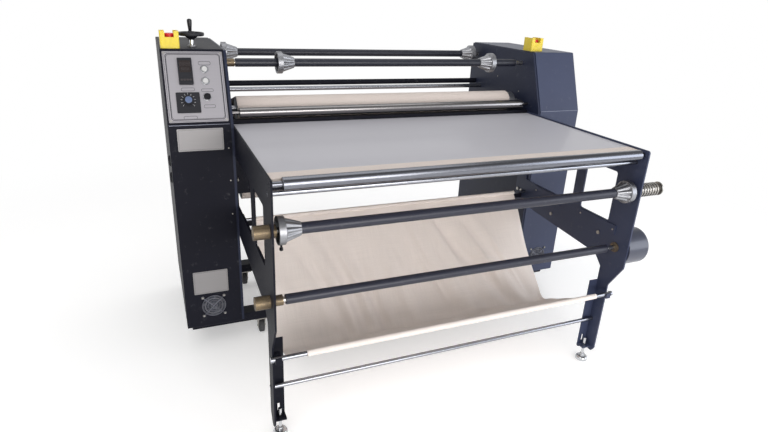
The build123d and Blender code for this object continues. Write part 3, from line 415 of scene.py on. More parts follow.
@dataclass(frozen=True)
class AgedBrass(Finish):
    """Turned brass with tool rings along X and brown tarnish between bright patches."""

    pitch: float = 0.0024
    seat: float = 1.19

    def dress(self, dye: Paint) -> None:
        """A sine along X makes the rings, noise the tarnish, and the high seat stays grey.

        Args:
            dye: The material's tree.
        """
        place = dye.place()
        ring = (dye.part(place, 0) * (2 * math.pi / self.pitch)).sine() * 0.5 + 0.5
        spots = dye.noise(place, 240.0, 5.0, 0.75)
        broad = dye.noise(place, 40.0, 3.0)
        tarnish = (spots * 0.5 + ring * 0.3 + broad * 0.2).step(0.36, 0.52)
        steel = dye.part(place, 2).step(self.seat, self.seat + 0.002)
        brass = dye.tint(tarnish, self.colour, (0.12, 0.095, 0.075))
        dye.finish(
            Base_Color=dye.tint(steel, brass, (0.3, 0.3, 0.31)),
            Metallic=1.0 - tarnish * 0.2,
            Roughness=self.roughness + tarnish * 0.2,
            Normal=dye.relief(ring, 0.0003, 0.8),
        )


@dataclass(frozen=True)
class MouldedPlastic(Finish):
    """Moulded plastic with a fine spark-eroded grain."""

    grain: float = 1500.0
    depth: float = 0.00012

    def dress(self, dye: Paint) -> None:
        """Grain feeds relief and gloss, a slow mottle shifts the colour a little.

        Args:
            dye: The material's tree.
        """
        place = dye.place()
        grain = dye.noise(place, self.grain, 2.0)
        mottle = dye.noise(place, 25.0, 3.0)
        dye.finish(
            Base_Color=self.toned(dye, mottle, 0.88, 1.1),
            Roughness=self.roughness + (grain - 0.5) * 0.14 + (mottle - 0.5) * 0.08,
            Specular_IOR_Level=0.3,
            Normal=dye.relief(grain, self.depth, 0.5),
        )


@dataclass(frozen=True)
class RibbedPlastic(Finish):
    """Plastic with fine upright ribs, as on the walls of the switch guards."""

    pitch: float = 0.0042

    def dress(self, dye: Paint) -> None:
        """A sine of X plus Y makes upright ribs on both pairs of walls.

        Args:
            dye: The material's tree.
        """
        place = dye.place()
        across = (dye.part(place, 0) + dye.part(place, 1)) * (2 * math.pi / self.pitch)
        rib = across.sine() * 0.5 + 0.5
        mottle = dye.noise(place, 70.0, 4.0)
        dye.finish(
            # Half of the colour's tone follows the ribs, darker in their valleys and lighter on
            # their crests: painted shade and highlight. The other half is a random mottle.
            Base_Color=self.toned(dye, rib * 0.5 + mottle * 0.5, 0.72, 1.1),
            Roughness=self.roughness + (mottle - 0.5) * 0.15,
            Normal=dye.relief(rib, 0.0005, 0.6),
        )


@dataclass(frozen=True)
class GlossLaminate(Finish):
    """Polished laminate with wiped smears and a very slow waviness."""

    def dress(self, dye: Paint) -> None:
        """Long noise bends the mirror image, and smears dull it in places.

        Args:
            dye: The material's tree.
        """
        place = dye.place()
        wave = dye.noise(dye.stretched(place, (1.6, 3.0, 1.0)), 1.0, 1.0)
        smear = dye.noise(dye.stretched(place, (3.0, 11.0, 3.0)), 1.0, 5.0, 0.6)
        dye.finish(
            Base_Color=self.toned(dye, smear, 0.97, 1.03),
            Roughness=self.roughness + smear.step(0.45, 0.75) * 0.07,
            Normal=dye.relief(wave, 0.004, 0.25),
            Coat_Weight=0.12,
            Coat_Roughness=0.08,
        )


@dataclass(frozen=True)
class NeedledFelt(Finish):
    """Dense needled felt with matted fibres and a faint roll of press marks."""

    fibre: float = 650.0

    def dress(self, dye: Paint) -> None:
        """Two stretched noises stand for fibres that lie along and across the width.

        Args:
            dye: The material's tree.
        """
        place = dye.place()
        along = dye.noise(dye.stretched(place, (0.35, 1.0, 1.0)), self.fibre, 4.0, 0.7)
        across = dye.noise(dye.stretched(place, (1.0, 0.4, 0.4)), self.fibre, 4.0, 0.7)
        tuft = along * 0.5 + across * 0.5
        marks = dye.noise(dye.stretched(place, (2.0, 16.0, 16.0)), 1.0, 3.0)
        base = self.toned(dye, marks, 0.9, 1.04)
        dye.finish(
            Base_Color=dye.tint(tuft.step(0.3, 0.7), shade(self.colour, 0.8), base),
            Roughness=0.93 + (tuft - 0.5) * 0.1,
            Normal=dye.relief(tuft, 0.0009, 0.8),
            Sheen_Weight=0.1,
            Sheen_Roughness=0.6,
        )


@dataclass(frozen=True)
class WovenCotton(Finish):
    """Plain-woven cotton: warp and weft from the cloth's own UV map, with thick threads."""

    thread: float = 0.0011

    def dress(self, dye: Paint) -> None:
        """The product of two sines is the weave, and stretched noise makes uneven threads.

        Args:
            dye: The material's tree.
        """
        flat = dye.flat()
        turn = 2 * math.pi / self.thread
        warp = (dye.part(flat, 0) * turn).sine()
        weft = (dye.part(flat, 1) * turn).sine()
        weave = warp * weft * 0.5 + 0.5
        thick_warp = dye.noise(dye.stretched(flat, (420.0, 7.0, 1.0)), 1.0, 2.0)
        thick_weft = dye.noise(dye.stretched(flat, (7.0, 420.0, 1.0)), 1.0, 2.0)
        slub = thick_warp * 0.5 + thick_weft * 0.5
        wash = dye.noise(flat, 5.0, 4.0, 0.55)
        base = self.toned(dye, wash, 0.93, 1.05)
        fine = dye.tint((slub * 0.7 + weave * 0.3).step(0.2, 0.7), shade(self.colour, 0.84), base)
        dye.finish(
            Base_Color=fine,
            Roughness=0.86 + (slub - 0.5) * 0.2,
            Normal=dye.relief(weave * 0.6 + slub * 0.4, 0.00035, 0.7),
            Sheen_Weight=0.15,
            Sheen_Roughness=0.5,
        )


@dataclass(frozen=True)
class BrushedSheet(Finish):
    """Brushed silver sheet with fine lines along X."""

    metal: float = 0.6

    def dress(self, dye: Paint) -> None:
        """Noise drawn out along X feeds gloss, colour and a low relief.

        Args:
            dye: The material's tree.
        """
        place = dye.place()
        line = dye.noise(dye.stretched(place, (9.0, 1100.0, 1100.0)), 1.0, 3.0, 0.6)
        cloud = dye.noise(place, 14.0, 3.0)
        dye.finish(
            Base_Color=self.toned(dye, line, 0.88, 1.08),
            Metallic=self.metal,
            Roughness=self.roughness + (line - 0.5) * 0.18 + (cloud - 0.5) * 0.1,
            Normal=dye.relief(line, 0.00005, 0.5),
        )


@dataclass(frozen=True)
class Enamel(Finish):
    """Smooth sprayed enamel with a clear gloss over it."""

    coat: float = 0.3

    def dress(self, dye: Paint) -> None:
        """A soft orange peel bends the gloss.

        Args:
            dye: The material's tree.
        """
        place = dye.place()
        peel = dye.noise(place, 260.0, 2.0)
        cloud = dye.noise(place, 18.0, 4.0)
        dye.finish(
            Base_Color=self.toned(dye, cloud, 0.85, 1.15),
            Roughness=self.roughness + (cloud - 0.5) * 0.12,
            Normal=dye.relief(peel, 0.00008, 0.4),
            Coat_Weight=self.coat,
            Coat_Roughness=0.12,
        )


class Coat(Enum):
    """The finishes of this machine."""

    BLACK_SHEET = PowderCoat("black_sheet", (0.0062, 0.0067, 0.0125), 0.5, gloss=0.12)
    # Painted light: the same black powder coat, made lighter and bluer on the bearing walls to
    # paint the light that their inner faces catch.
    LIT_WALL_SHEET = PowderCoat("lit_wall_sheet", (0.015, 0.0195, 0.042), 0.42, gloss=0.22)
    # Painted light: the same black powder coat as BLACK_SHEET, made lighter and bluer to paint the
    # sheen and light on the right cabinet and right side frame.
    LIT_BLACK_SHEET = PowderCoat("lit_black_sheet", (0.036, 0.045, 0.086), 0.42, gloss=0.3)
    FEED_TUBE = PaintedTube("feed_tube", (0.019, 0.0205, 0.034), 0.36, low=-0.643, high=0.643)
    REWIND_TUBE = PaintedTube("rewind_tube", (0.021, 0.0225, 0.036), 0.36, low=-0.629, high=0.623)
    ROLL_TUBE = PaintedTube("roll_tube", (0.012, 0.0135, 0.023), 0.38, low=-0.635, high=0.635)
    CHROME = TurnedMetal("chrome_ground", (0.33, 0.34, 0.375), 0.24)
    NIP_CHROME = TurnedMetal("nip_chrome", (0.27, 0.26, 0.262), 0.22)
    FRONT_CHROME = TurnedMetal("front_chrome", (0.2, 0.207, 0.235), 0.22)
    CHROME_UPRIGHT = TurnedMetal("chrome_upright", (0.6, 0.61, 0.63), 0.15, axis=2)
    ZINC = TurnedMetal("zinc_plate", (0.4, 0.385, 0.36), 0.32)
    GUARD_WIRE = TurnedMetal("guard_wire", (0.19, 0.2, 0.245), 0.36)
    DARK_STEEL = TurnedMetal("dark_steel", (0.16, 0.16, 0.17), 0.36)
    ROLLER = TurnedMetal("roller_aluminium", (0.4, 0.41, 0.44), 0.34)
    CAST_ALUMINIUM = CastMetal("cast_aluminium", (0.33, 0.335, 0.355), 0.42)
    CAST_IRON = CastMetal("cast_iron", (0.12, 0.12, 0.13), 0.55)
    BRASS = AgedBrass("aged_brass", (0.33, 0.25, 0.14), 0.28)
    ENAMEL = Enamel("slate_enamel", (0.04, 0.045, 0.072), 0.34)
    FASCIA = BrushedSheet("fascia_silver", (0.33, 0.32, 0.345), 0.46)
    PLATE = BrushedSheet("blank_plate", (0.27, 0.262, 0.265), 0.42, metal=0.5)
    LAMINATE = GlossLaminate("table_laminate", (0.425, 0.42, 0.455), 0.46)
    FELT = NeedledFelt("white_felt", (0.66, 0.58, 0.535))
    COTTON = WovenCotton("cotton_cloth", (0.85, 0.775, 0.725))
    BLACK_PLASTIC = MouldedPlastic("black_plastic", (0.009, 0.0095, 0.014), 0.45)
    BLACK_GLOSS = MouldedPlastic("black_gloss", (0.008, 0.008, 0.011), 0.22, depth=0.00003)
    DARK_GLASS = MouldedPlastic("dark_window", (0.02, 0.0145, 0.0145), 0.3, depth=0.00001)
    DIM_PRINT = MouldedPlastic("dim_print", (0.045, 0.038, 0.04), 0.35, depth=0.00001)
    BLUE_CAP = MouldedPlastic("blue_cap", (0.1, 0.14, 0.25), 0.35)
    WHITE_PRINT = MouldedPlastic("pale_print", (0.6, 0.6, 0.62), 0.5)
    DARK_PRINT = MouldedPlastic("dark_print", (0.02, 0.02, 0.028), 0.5)
    LENS = MouldedPlastic("pale_lens", (0.5, 0.5, 0.5), 0.16, depth=0.00002)
    RED = MouldedPlastic("red_plastic", (0.55, 0.02, 0.02), 0.25)
    YELLOW = RibbedPlastic("yellow_plastic", (0.78, 0.6, 0.03), 0.34)
    GREY_TYRE = MouldedPlastic("grey_tyre", (0.06, 0.06, 0.065), 0.7, grain=700.0)


CAD_COATS: dict[Coat, str] = {
    Coat.BLACK_SHEET: "left_side_frame left_cabinet_cover cross_beams",
    # The right frame and right cabinet wear the black coat with painted light and sheen in its
    # colour.
    Coat.LIT_BLACK_SHEET: "right_side_frame right_cabinet_cover",
    # The bearing walls wear the black coat with painted light in its colour.
    Coat.LIT_WALL_SHEET: "bearing_walls",
    Coat.CHROME_UPRIGHT: "left_levelling_foot right_levelling_foot switch_bezels",
    Coat.ZINC: "castor_forks brake_spring fasteners",
    Coat.GREY_TYRE: (
        "front_left_castor_wheel front_right_castor_wheel rear_left_castor_wheel "
        "rear_right_castor_wheel"
    ),
    Coat.FASCIA: "control_panel",
    Coat.BLACK_PLASTIC: (
        "temperature_controller speed_dial speed_knob left_fan_rotor right_fan_rotor "
        "control_electronics"
    ),
    Coat.BLACK_GLOSS: "selector_knob",
    Coat.LENS: "start_button stop_button",
    Coat.YELLOW: "estop_guards",
    Coat.RED: "left_estop_button right_estop_button",
    Coat.DARK_STEEL: "tension_nut heated_drum heating_tubes fan_housings",
    Coat.CAST_IRON: "roller_bearings",
    Coat.ROLLER: (
        "front_top_guide_roller front_low_guide_roller rear_top_guide_roller "
        "rear_low_guide_roller"
    ),
    Coat.NIP_CHROME: "nip_roller",
    Coat.FRONT_CHROME: "front_roller",
    Coat.LAMINATE: "table_board",
    Coat.ROLL_TUBE: "front_roll_shaft rear_roll_shaft",
    Coat.FEED_TUBE: "feed_shaft",
    Coat.REWIND_TUBE: "rewind_shaft",
    Coat.BRASS: "brass_bushes",
    Coat.ENAMEL: "torque_motor drive_gearmotor",
    Coat.CHROME: "chrome_rods",
}


def wear(piece: bpy.types.Object, coat: Coat) -> None:
    """Gives every material slot of a piece the coat's material.

    Args:
        piece: The object.
        coat: Its finish.
    """
    material = coat.value.material()
    if not piece.material_slots:
        piece.data.materials.append(material)
    for place in piece.material_slots:
        place.link = "OBJECT"
        place.material = material


def grid_faces(rows: int, columns: int, close_rows: bool, close_columns: bool) -> np.ndarray:
    """Quads of a grid of points.

    Each quad joins the points (i, j), (i + 1, j), (i + 1, j + 1) and (i, j + 1).

    Args:
        rows: Points in the first direction.
        columns: Points in the second direction.
        close_rows: Whether the last row joins the first.
        close_columns: Whether the last column joins the first.

    Returns:
        The quads' point numbers, one quad a row.
    """
    first = np.arange(rows if close_rows else rows - 1)
    second = np.arange(columns if close_columns else columns - 1)
    i, j = np.meshgrid(first, second, indexing="ij")
    next_i = (i + 1) % rows
    next_j = (j + 1) % columns
    quads = [i * columns + j, next_i * columns + j, next_i * columns + next_j, i * columns + next_j]
    return np.stack(quads, axis=-1).reshape(-1, 4)


def new_object(name: str, data: Any) -> bpy.types.Object:
    """Object of the scene with a mesh, camera or lamp as its data.

    Args:
        name: The object's name.
        data: Its mesh, camera or lamp.

    Returns:
        The new object.
    """
    made = bpy.data.objects.new(name, data)
    bpy.context.scene.collection.objects.link(made)
    return made


def piece_from(
    name: str,
    shape: tuple,
    coat: Coat,
    body: str = ROOT,
    flat: Optional[np.ndarray] = None,
    smooth: bool = True,
) -> bpy.types.Object:
    """Makes a finished piece from points and faces, its doubles merged and faces outwards.

    Args:
        name: The piece's name.
        shape: Its points in metres and the point numbers of each face.
        coat: Its finish.
        body: The body that carries it.
        flat: UV place of each point in metres, for cloth.
        smooth: Whether its faces are shaded smooth.

    Returns:
        The new object.
    """
    points, faces = shape
    mesh = bpy.data.meshes.new(name)
    mesh.from_pydata(points.reshape(-1, 3).tolist(), [], [list(map(int, face)) for face in faces])
    if flat is not None:
        layer = mesh.uv_layers.new(name="flat")
        corner = np.empty(len(mesh.loops), dtype=np.int64)
        mesh.loops.foreach_get("vertex_index", corner)
        layer.data.foreach_set("uv", flat.reshape(-1, 2)[corner].ravel())
    work = bmesh.new()
    work.from_mesh(mesh)
    bmesh.ops.remove_doubles(work, verts=work.verts, dist=MERGE)
    bmesh.ops.dissolve_degenerate(work, edges=work.edges, dist=COLLAPSE)
    bmesh.ops.recalc_face_normals(work, faces=work.faces)
    work.to_mesh(mesh)
    work.free()
    mesh.polygons.foreach_set("use_smooth", np.full(len(mesh.polygons), smooth))
    mesh.update()
    piece = new_object(name, mesh)
    wear(piece, coat)
    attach(piece, body)
    log.info("%s: %d faces on %s", name, len(mesh.polygons), body)
    return piece


def crisp(piece: bpy.types.Object, angle: float = 35.0) -> bpy.types.Object:
    """Keeps edges sharper than an angle in degrees crisp and the rest smooth."""
    piece.data.set_sharp_from_angle(angle=math.radians(angle))
    return piece


def full_turn(steps: int) -> np.ndarray:
    """Even angles of one turn, without its end."""
    return np.linspace(0, 2 * math.pi, steps, endpoint=False)


def points_at(x: np.ndarray, y: np.ndarray, z: np.ndarray) -> np.ndarray:
    """Points from their coordinates, in a last dimension of three."""
    return np.stack([x, y, z], axis=-1)


def about(
    centre: np.ndarray, axis: np.ndarray, along: np.ndarray, radius: np.ndarray, turn: np.ndarray
) -> np.ndarray:
    """Points round an axis.

    Each point is the centre, plus along times the axis, plus the radius times the cosine
    and sine of the turn on two directions square to the axis.

    Args:
        centre: A point on the axis.
        axis: The axis's unit direction.
        along: Distance along the axis.
        radius: Distance from the axis.
        turn: Angle in radians.

    Returns:
        The points, with one more dimension than the inputs.
    """
    helper = Z_AXIS if abs(axis[2]) < 0.9 else Y_AXIS
    first = np.cross(helper, axis)
    first /= np.linalg.norm(first)
    second = np.cross(axis, first)
    return (centre + along[..., None] * axis + (radius * np.cos(turn))[..., None] * first
            + (radius * np.sin(turn))[..., None] * second)


def lathe(
    centre: np.ndarray, axis: np.ndarray, profile: Sequence[tuple[float, float]], steps: int
) -> tuple:
    """Surface that a profile of (along, radius) points sweeps round an axis.

    Args:
        centre: The axis's start.
        axis: Its unit direction.
        profile: The profile's points, from pole to pole or as a closed loop.
        steps: Points round the axis.

    Returns:
        Points and faces.
    """
    shape = np.array(profile)
    along = np.repeat(shape[:, :1], steps, axis=1)
    radius = np.repeat(shape[:, 1:], steps, axis=1)
    angle = np.repeat(full_turn(steps)[None, :], len(shape), axis=0)
    return about(centre, axis, along, radius, angle), grid_faces(len(shape), steps, False, True)


def hoop(
    centre: np.ndarray, axis: np.ndarray, radius: float, wire: float,
    steps: int = 48, sides: int = 8,
) -> tuple:
    """Ring of round wire: a circle of the wire's radius carried round the axis.

    Args:
        centre: The ring's middle.
        axis: Its unit axis.
        radius: From the axis to the middle of the wire.
        wire: The wire's radius.
        steps: Points round the ring.
        sides: Points round the wire.

    Returns:
        Points and faces.
    """
    around, section = np.meshgrid(full_turn(steps), full_turn(sides), indexing="ij")
    points = about(centre, axis, wire * np.sin(section), radius + wire * np.cos(section), around)
    return points, grid_faces(steps, sides, True, True)


def tube(start: np.ndarray, end: np.ndarray, radius: float, sides: int = 12) -> tuple:
    """Straight rod with closed ends between two points.

    Args:
        start: Middle of the first end.
        end: Middle of the other end.
        radius: The rod's radius.
        sides: Points round it.

    Returns:
        Points and faces.
    """
    length = float(np.linalg.norm(end - start))
    axis = (end - start) / length
    profile = [(0, 0), (0, radius), (length, radius), (length, 0)]
    return lathe(start, axis, profile, sides)


def joined(parts: Iterable[tuple]) -> tuple[np.ndarray, list[list[int]]]:
    """Several surfaces as one list of points and faces.

    Args:
        parts: Points and faces of each surface.

    Returns:
        All points, and all faces with their numbers moved on.
    """
    points: list[np.ndarray] = []
    faces: list[list[int]] = []
    count = 0
    for some_points, some_faces in parts:
        rows = np.asarray(some_points).reshape(-1, 3)
        points.append(rows)
        faces.extend([[int(i) + count for i in face] for face in some_faces])
        count += len(rows)
    return np.concatenate(points), faces


@dataclass(frozen=True)
class Sheet:
    """A flat place in space with two directions on it and one off it."""

    origin: np.ndarray
    across: np.ndarray
    up: np.ndarray

    @property
    def out(self) -> np.ndarray:
        """Unit direction off the sheet, towards the viewer."""
        return np.cross(self.across, self.up)

    def at(self, outline: np.ndarray, lift: float) -> np.ndarray:
        """Points of a flat outline in (across, up) at a height over the sheet."""
        sideways = self.origin + outline[:, :1] * self.across
        return sideways + outline[:, 1:2] * self.up + lift * self.out

    def slab(self, outline: np.ndarray, low: float, high: float) -> tuple:
        """Plate with an outline, between two heights.

        Args:
            outline: Corners in (across, up), counter-clockwise.
            low: Height of its back.
            high: Height of its face.

        Returns:
            Points and faces.
        """
        count = len(outline)
        points = np.concatenate([self.at(outline, low), self.at(outline, high)])
        ring = [[i, (i + 1) % count, count + (i + 1) % count, count + i] for i in range(count)]
        return points, ring + [list(range(count))[::-1], list(range(count, 2 * count))]

    def line(self, outline: np.ndarray, width: float, low: float, high: float) -> tuple:
        """Flat band of a width along the inside of a closed outline.

        Args:
            outline: Corners in (across, up), counter-clockwise.
            width: The band's width.
            low: Height of its back.
            high: Height of its face.

        Returns:
            Points and faces.
        """
        inner = inset(outline, width)
        count = len(outline)
        corners = ((outline, low), (outline, high), (inner, high), (inner, low))
        rings = np.stack([self.at(edge, lift) for edge, lift in corners])
        return rings, grid_faces(4, count, True, True)


def inset(outline: np.ndarray, width: float) -> np.ndarray:
    """A closed outline moved inwards by a width, each corner along its mitre.

    Args:
        outline: Corners in (across, up), counter-clockwise.
        width: How far each side moves.

    Returns:
        The new corners.
    """
    before = outline - np.roll(outline, 1, axis=0)
    after = np.roll(outline, -1, axis=0) - outline
    before /= np.linalg.norm(before, axis=1)[:, None]
    after /= np.linalg.norm(after, axis=1)[:, None]
    normal_a = np.stack([-before[:, 1], before[:, 0]], axis=1)
    normal_b = np.stack([-after[:, 1], after[:, 0]], axis=1)
    mitre = normal_a + normal_b
    scale = width / (0.5 * (mitre ** 2).sum(axis=1))
    return outline + mitre * scale[:, None]


def rounded(
    middle: tuple[float, float], width: float, height: float, corner: float, steps: int = 6
) -> np.ndarray:
    """Outline of a rectangle with round corners, counter-clockwise.

    Args:
        middle: Centre in (across, up).
        width: Size across.
        height: Size up.
        corner: Radius of the corners.
        steps: Points on each corner.

    Returns:
        The outline's points.
    """
    angles = np.linspace(0, math.pi / 2, steps)
    parts = []
    for quarter, (sx, sy) in enumerate(((1, 1), (-1, 1), (-1, -1), (1, -1))):
        centre = np.array(middle) + [sx * (width / 2 - corner), sy * (height / 2 - corner)]
        turn = angles + quarter * math.pi / 2
        parts.append(centre + corner * np.stack([np.cos(turn), np.sin(turn)], axis=1))
    return np.concatenate(parts)


def chamfered(middle: tuple[float, float], width: float, height: float, cut: float) -> np.ndarray:
    """Outline of a rectangle with cut corners, counter-clockwise.

    Args:
        middle: Centre in (across, up).
        width: Size across.
        height: Size up.
        cut: Length that each corner loses on both sides.

    Returns:
        The outline's points.
    """
    half_w = width / 2
    half_h = height / 2
    points = [
        (half_w, half_h - cut), (half_w - cut, half_h),
        (-half_w + cut, half_h), (-half_w, half_h - cut),
        (-half_w, -half_h + cut), (-half_w + cut, -half_h),
        (half_w - cut, -half_h), (half_w, -half_h + cut),
    ]
    return np.array(points) + np.array(middle)


def tapered(
    start: np.ndarray, end: np.ndarray, side: np.ndarray, start_half: float, end_half: float
) -> np.ndarray:
    """Outline of a straight bar, with its half width at each end.

    Args:
        start: Middle of the first end.
        end: Middle of the other end.
        side: Unit direction across the bar.
        start_half: Half width at the start.
        end_half: Half width at the end.

    Returns:
        The four corners.
    """
    return np.array([
        start - side * start_half, end - side * end_half,
        end + side * end_half, start + side * start_half,
    ])


def middle_of(node: str) -> np.ndarray:
    """Centre of a node's box."""
    low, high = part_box(node)
    return (np.array(low) + np.array(high)) / 2


@dataclass
class Roll:
    """A guide roller or drum that the felt runs over, in the YZ plane."""

    node: str
    turn: int

    def circle(self, extra: float) -> tuple[float, float, float, int]:
        """Centre, radius with an extra, and sense of turn.

        Args:
            extra: What is added to the radius.

        Returns:
            Centre in y and z, radius, and 1 or -1 for the turn.
        """
        low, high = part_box(self.node)
        radius = (high[1] - low[1]) / 2
        centre = middle_of(self.node)
        return float(centre[1]), float(centre[2]), radius + extra, self.turn


@dataclass
class FeltBlanket:
    """Endless felt over the guide rollers and round the back of the drum."""

    rolls: tuple[Roll, ...] = (
        Roll("front_top_guide_roller", 1),
        Roll("heated_drum", -1),
        Roll("front_low_guide_roller", 1),
        Roll("rear_low_guide_roller", 1),
        Roll("rear_top_guide_roller", 1),
    )
    thickness: float = 0.006
    gap: float = HAIR
    edge_round: float = 0.0022
    edge_steps: int = 5
    arc_step: float = 0.004
    run_steps: int = 14
    across_steps: int = 90
    fuzz: float = 0.0004

    def centreline(self) -> tuple[np.ndarray, np.ndarray]:
        """Points in the middle of the felt's thickness and their outward normals.

        The line goes round each circle, whose radius is the roll's own plus the gap and half
        the thickness, and from circle to circle along their common tangents.

        Returns:
            Points and normals in (y, z).
        """
        half = self.gap + self.thickness / 2
        circles = [roll.circle(half) for roll in self.rolls]
        count = len(circles)
        tangents = [self.tangent(circles[i], circles[(i + 1) % count]) for i in range(count)]
        points: list[np.ndarray] = []
        normals: list[np.ndarray] = []
        for i, (y, z, radius, turn) in enumerate(circles):
            arrive = tangents[i - 1][1]
            leave = tangents[i][0]
            start = math.atan2(arrive[1] - z, arrive[0] - y)
            sweep = (math.atan2(leave[1] - z, leave[0] - y) - start) * turn % (2 * math.pi)
            steps = max(6, int(sweep * radius / self.arc_step))
            angle = start + turn * np.linspace(0, sweep, steps)
            spokes = np.stack([np.cos(angle), np.sin(angle)], axis=1)
            points.append(np.array([y, z]) + radius * spokes)
            normals.append(turn * spokes)
            following = np.linspace(0, 1, self.run_steps)[1:-1, None]
            points.append(leave + (tangents[i][1] - leave) * following)
            normals.append(np.repeat(turn * spokes[-1:], len(following), axis=0))
        return np.concatenate(points), np.concatenate(normals)

    @staticmethod
    def tangent(first: tuple, second: tuple) -> tuple[np.ndarray, np.ndarray]:
        """Points where the belt leaves one circle and meets the next.

        Args:
            first: Centre, radius and turn of the circle it leaves.
            second: The same of the circle it meets.

        Returns:
            The two points in (y, z).
        """
        y1, z1, r1, s1 = first
        y2, z2, r2, s2 = second
        span = math.hypot(y2 - y1, z2 - z1)
        heading = math.atan2(z2 - z1, y2 - y1) - math.asin((s2 * r2 - s1 * r1) / span)
        left = np.array([-math.sin(heading), math.cos(heading)])
        return np.array([y1, z1]) - s1 * r1 * left, np.array([y2, z2]) - s2 * r2 * left

    def section(self, low_x: float, high_x: float) -> tuple[np.ndarray, np.ndarray]:
        """Closed outline across the felt in (x, height over the middle), with round edges.

        Args:
            low_x: Left edge of the felt.
            high_x: Right edge.

        Returns:
            The points' x and heights.
        """
        half = self.thickness / 2
        corner = self.edge_round
        across = np.linspace(low_x + corner, high_x - corner, self.across_steps)
        angle = np.linspace(math.pi / 2, 0, self.edge_steps)[1:]
        right_x = high_x - corner + corner * np.cos(angle)
        right_h = half - corner + corner * np.sin(angle)
        left_x = (low_x + high_x) - right_x
        few = across[::-6]
        xs = np.concatenate([across, right_x, right_x[::-1], few, left_x, left_x[::-1]])
        top = np.full(len(across), half)
        bottom = np.full(len(few), -half)
        hs = np.concatenate([top, right_h, -right_h[::-1], bottom, -right_h, right_h[::-1]])
        return xs, hs

    def build(self) -> None:
        """Carries the section along the centreline and roughens its face a little."""
        low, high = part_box("felt_blanket")
        line, normal = self.centreline()
        xs, hs = self.section(low[0], high[0])
        s, k = np.meshgrid(np.arange(len(line)), np.arange(len(xs)), indexing="ij")
        wave = np.sin(xs[k] * 61 + s * 0.21) * np.sin(xs[k] * 23 - s * 0.09)
        height = hs[k] - self.fuzz * 0.5 * (1 + wave) * (hs[k] > 0)
        points = points_at(xs[k], *(line[s, axis] + normal[s, axis] * height for axis in (0, 1)))
        shape = (points, grid_faces(len(line), len(xs), True, True))
        piece = piece_from("felt_blanket_cloth", shape, Coat.FELT)
        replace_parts(piece, "felt_blanket")


@dataclass
class TableFelt:
    """Felt pad that covers the board's front strip, its edge and its underside."""

    strip: float = 0.048
    round_top: float = 0.0034
    corner_steps: int = 7
    run_steps: int = 12
    crown_steps: int = 6
    slack: float = 0.0002
    swell: float = 0.0003
    skin: float = 0.0005
    stations: int = 140

    def outline(self) -> np.ndarray:
        """Closed section in (y, z), counter-clockwise seen from the left.

        Returns:
            The section's points.
        """
        felt_low, felt_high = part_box("table_felt")
        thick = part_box("table_board")[0][2] - felt_low[2]
        front = felt_low[1]
        top = felt_high[2]
        low = felt_low[2]
        radius = self.round_top
        bend = np.linspace(0, math.pi / 2, self.corner_steps)
        sine = radius * np.sin(bend)
        cosine = radius * np.cos(bend)
        top_bend = np.stack([front + radius - sine, top - radius + cosine], axis=1)
        low_bend = np.stack([front + radius - cosine, low + radius - sine], axis=1)
        inside = front + thick
        run_out = np.linspace(front + 2 * radius, felt_high[1], self.run_steps)
        run_back = np.linspace(felt_high[1], inside + self.slack, self.run_steps)
        under = np.stack([run_out, np.full(self.run_steps, low)], axis=1)
        back = np.stack([run_back, np.full(self.run_steps, low + thick)], axis=1)
        inner = np.array([(inside, top - thick - self.slack), (inside + self.strip, top - thick)])
        crown = np.linspace(inside + self.strip, front + 2 * radius, self.crown_steps)
        rise = np.stack([crown, np.full(self.crown_steps, top)], axis=1)
        return np.concatenate([top_bend, low_bend, under, back, inner, rise])

    def build(self) -> None:
        """Carries the section along X, swelling its free face by a fraction of a millimetre."""
        low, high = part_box("table_felt")
        section = self.outline()
        xs = np.linspace(low[0], high[0], self.stations)
        i, k = np.meshgrid(np.arange(self.stations), np.arange(len(section)), indexing="ij")
        front, top = section[:, 0].min(), section[:, 1].max()
        visible = (section[k, 1] > top - self.skin) | (section[k, 0] < front + self.skin)
        wave = np.sin(xs[i] * 47) * np.sin(xs[i] * 13 + section[k, 1] * 300)
        dip = self.swell * (wave - 1) * visible
        points = points_at(xs[i], section[k, 0] - dip * 0.3, section[k, 1] + dip)
        faces = grid_faces(self.stations, len(section), False, True).tolist()
        count = len(section)
        faces.append(list(range(count)))
        faces.append(list(range((self.stations - 1) * count, self.stations * count))[::-1])
        piece = piece_from("table_felt_pad", (points, faces), Coat.FELT)
        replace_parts(piece, "table_felt")
        crisp(piece, 50.0)


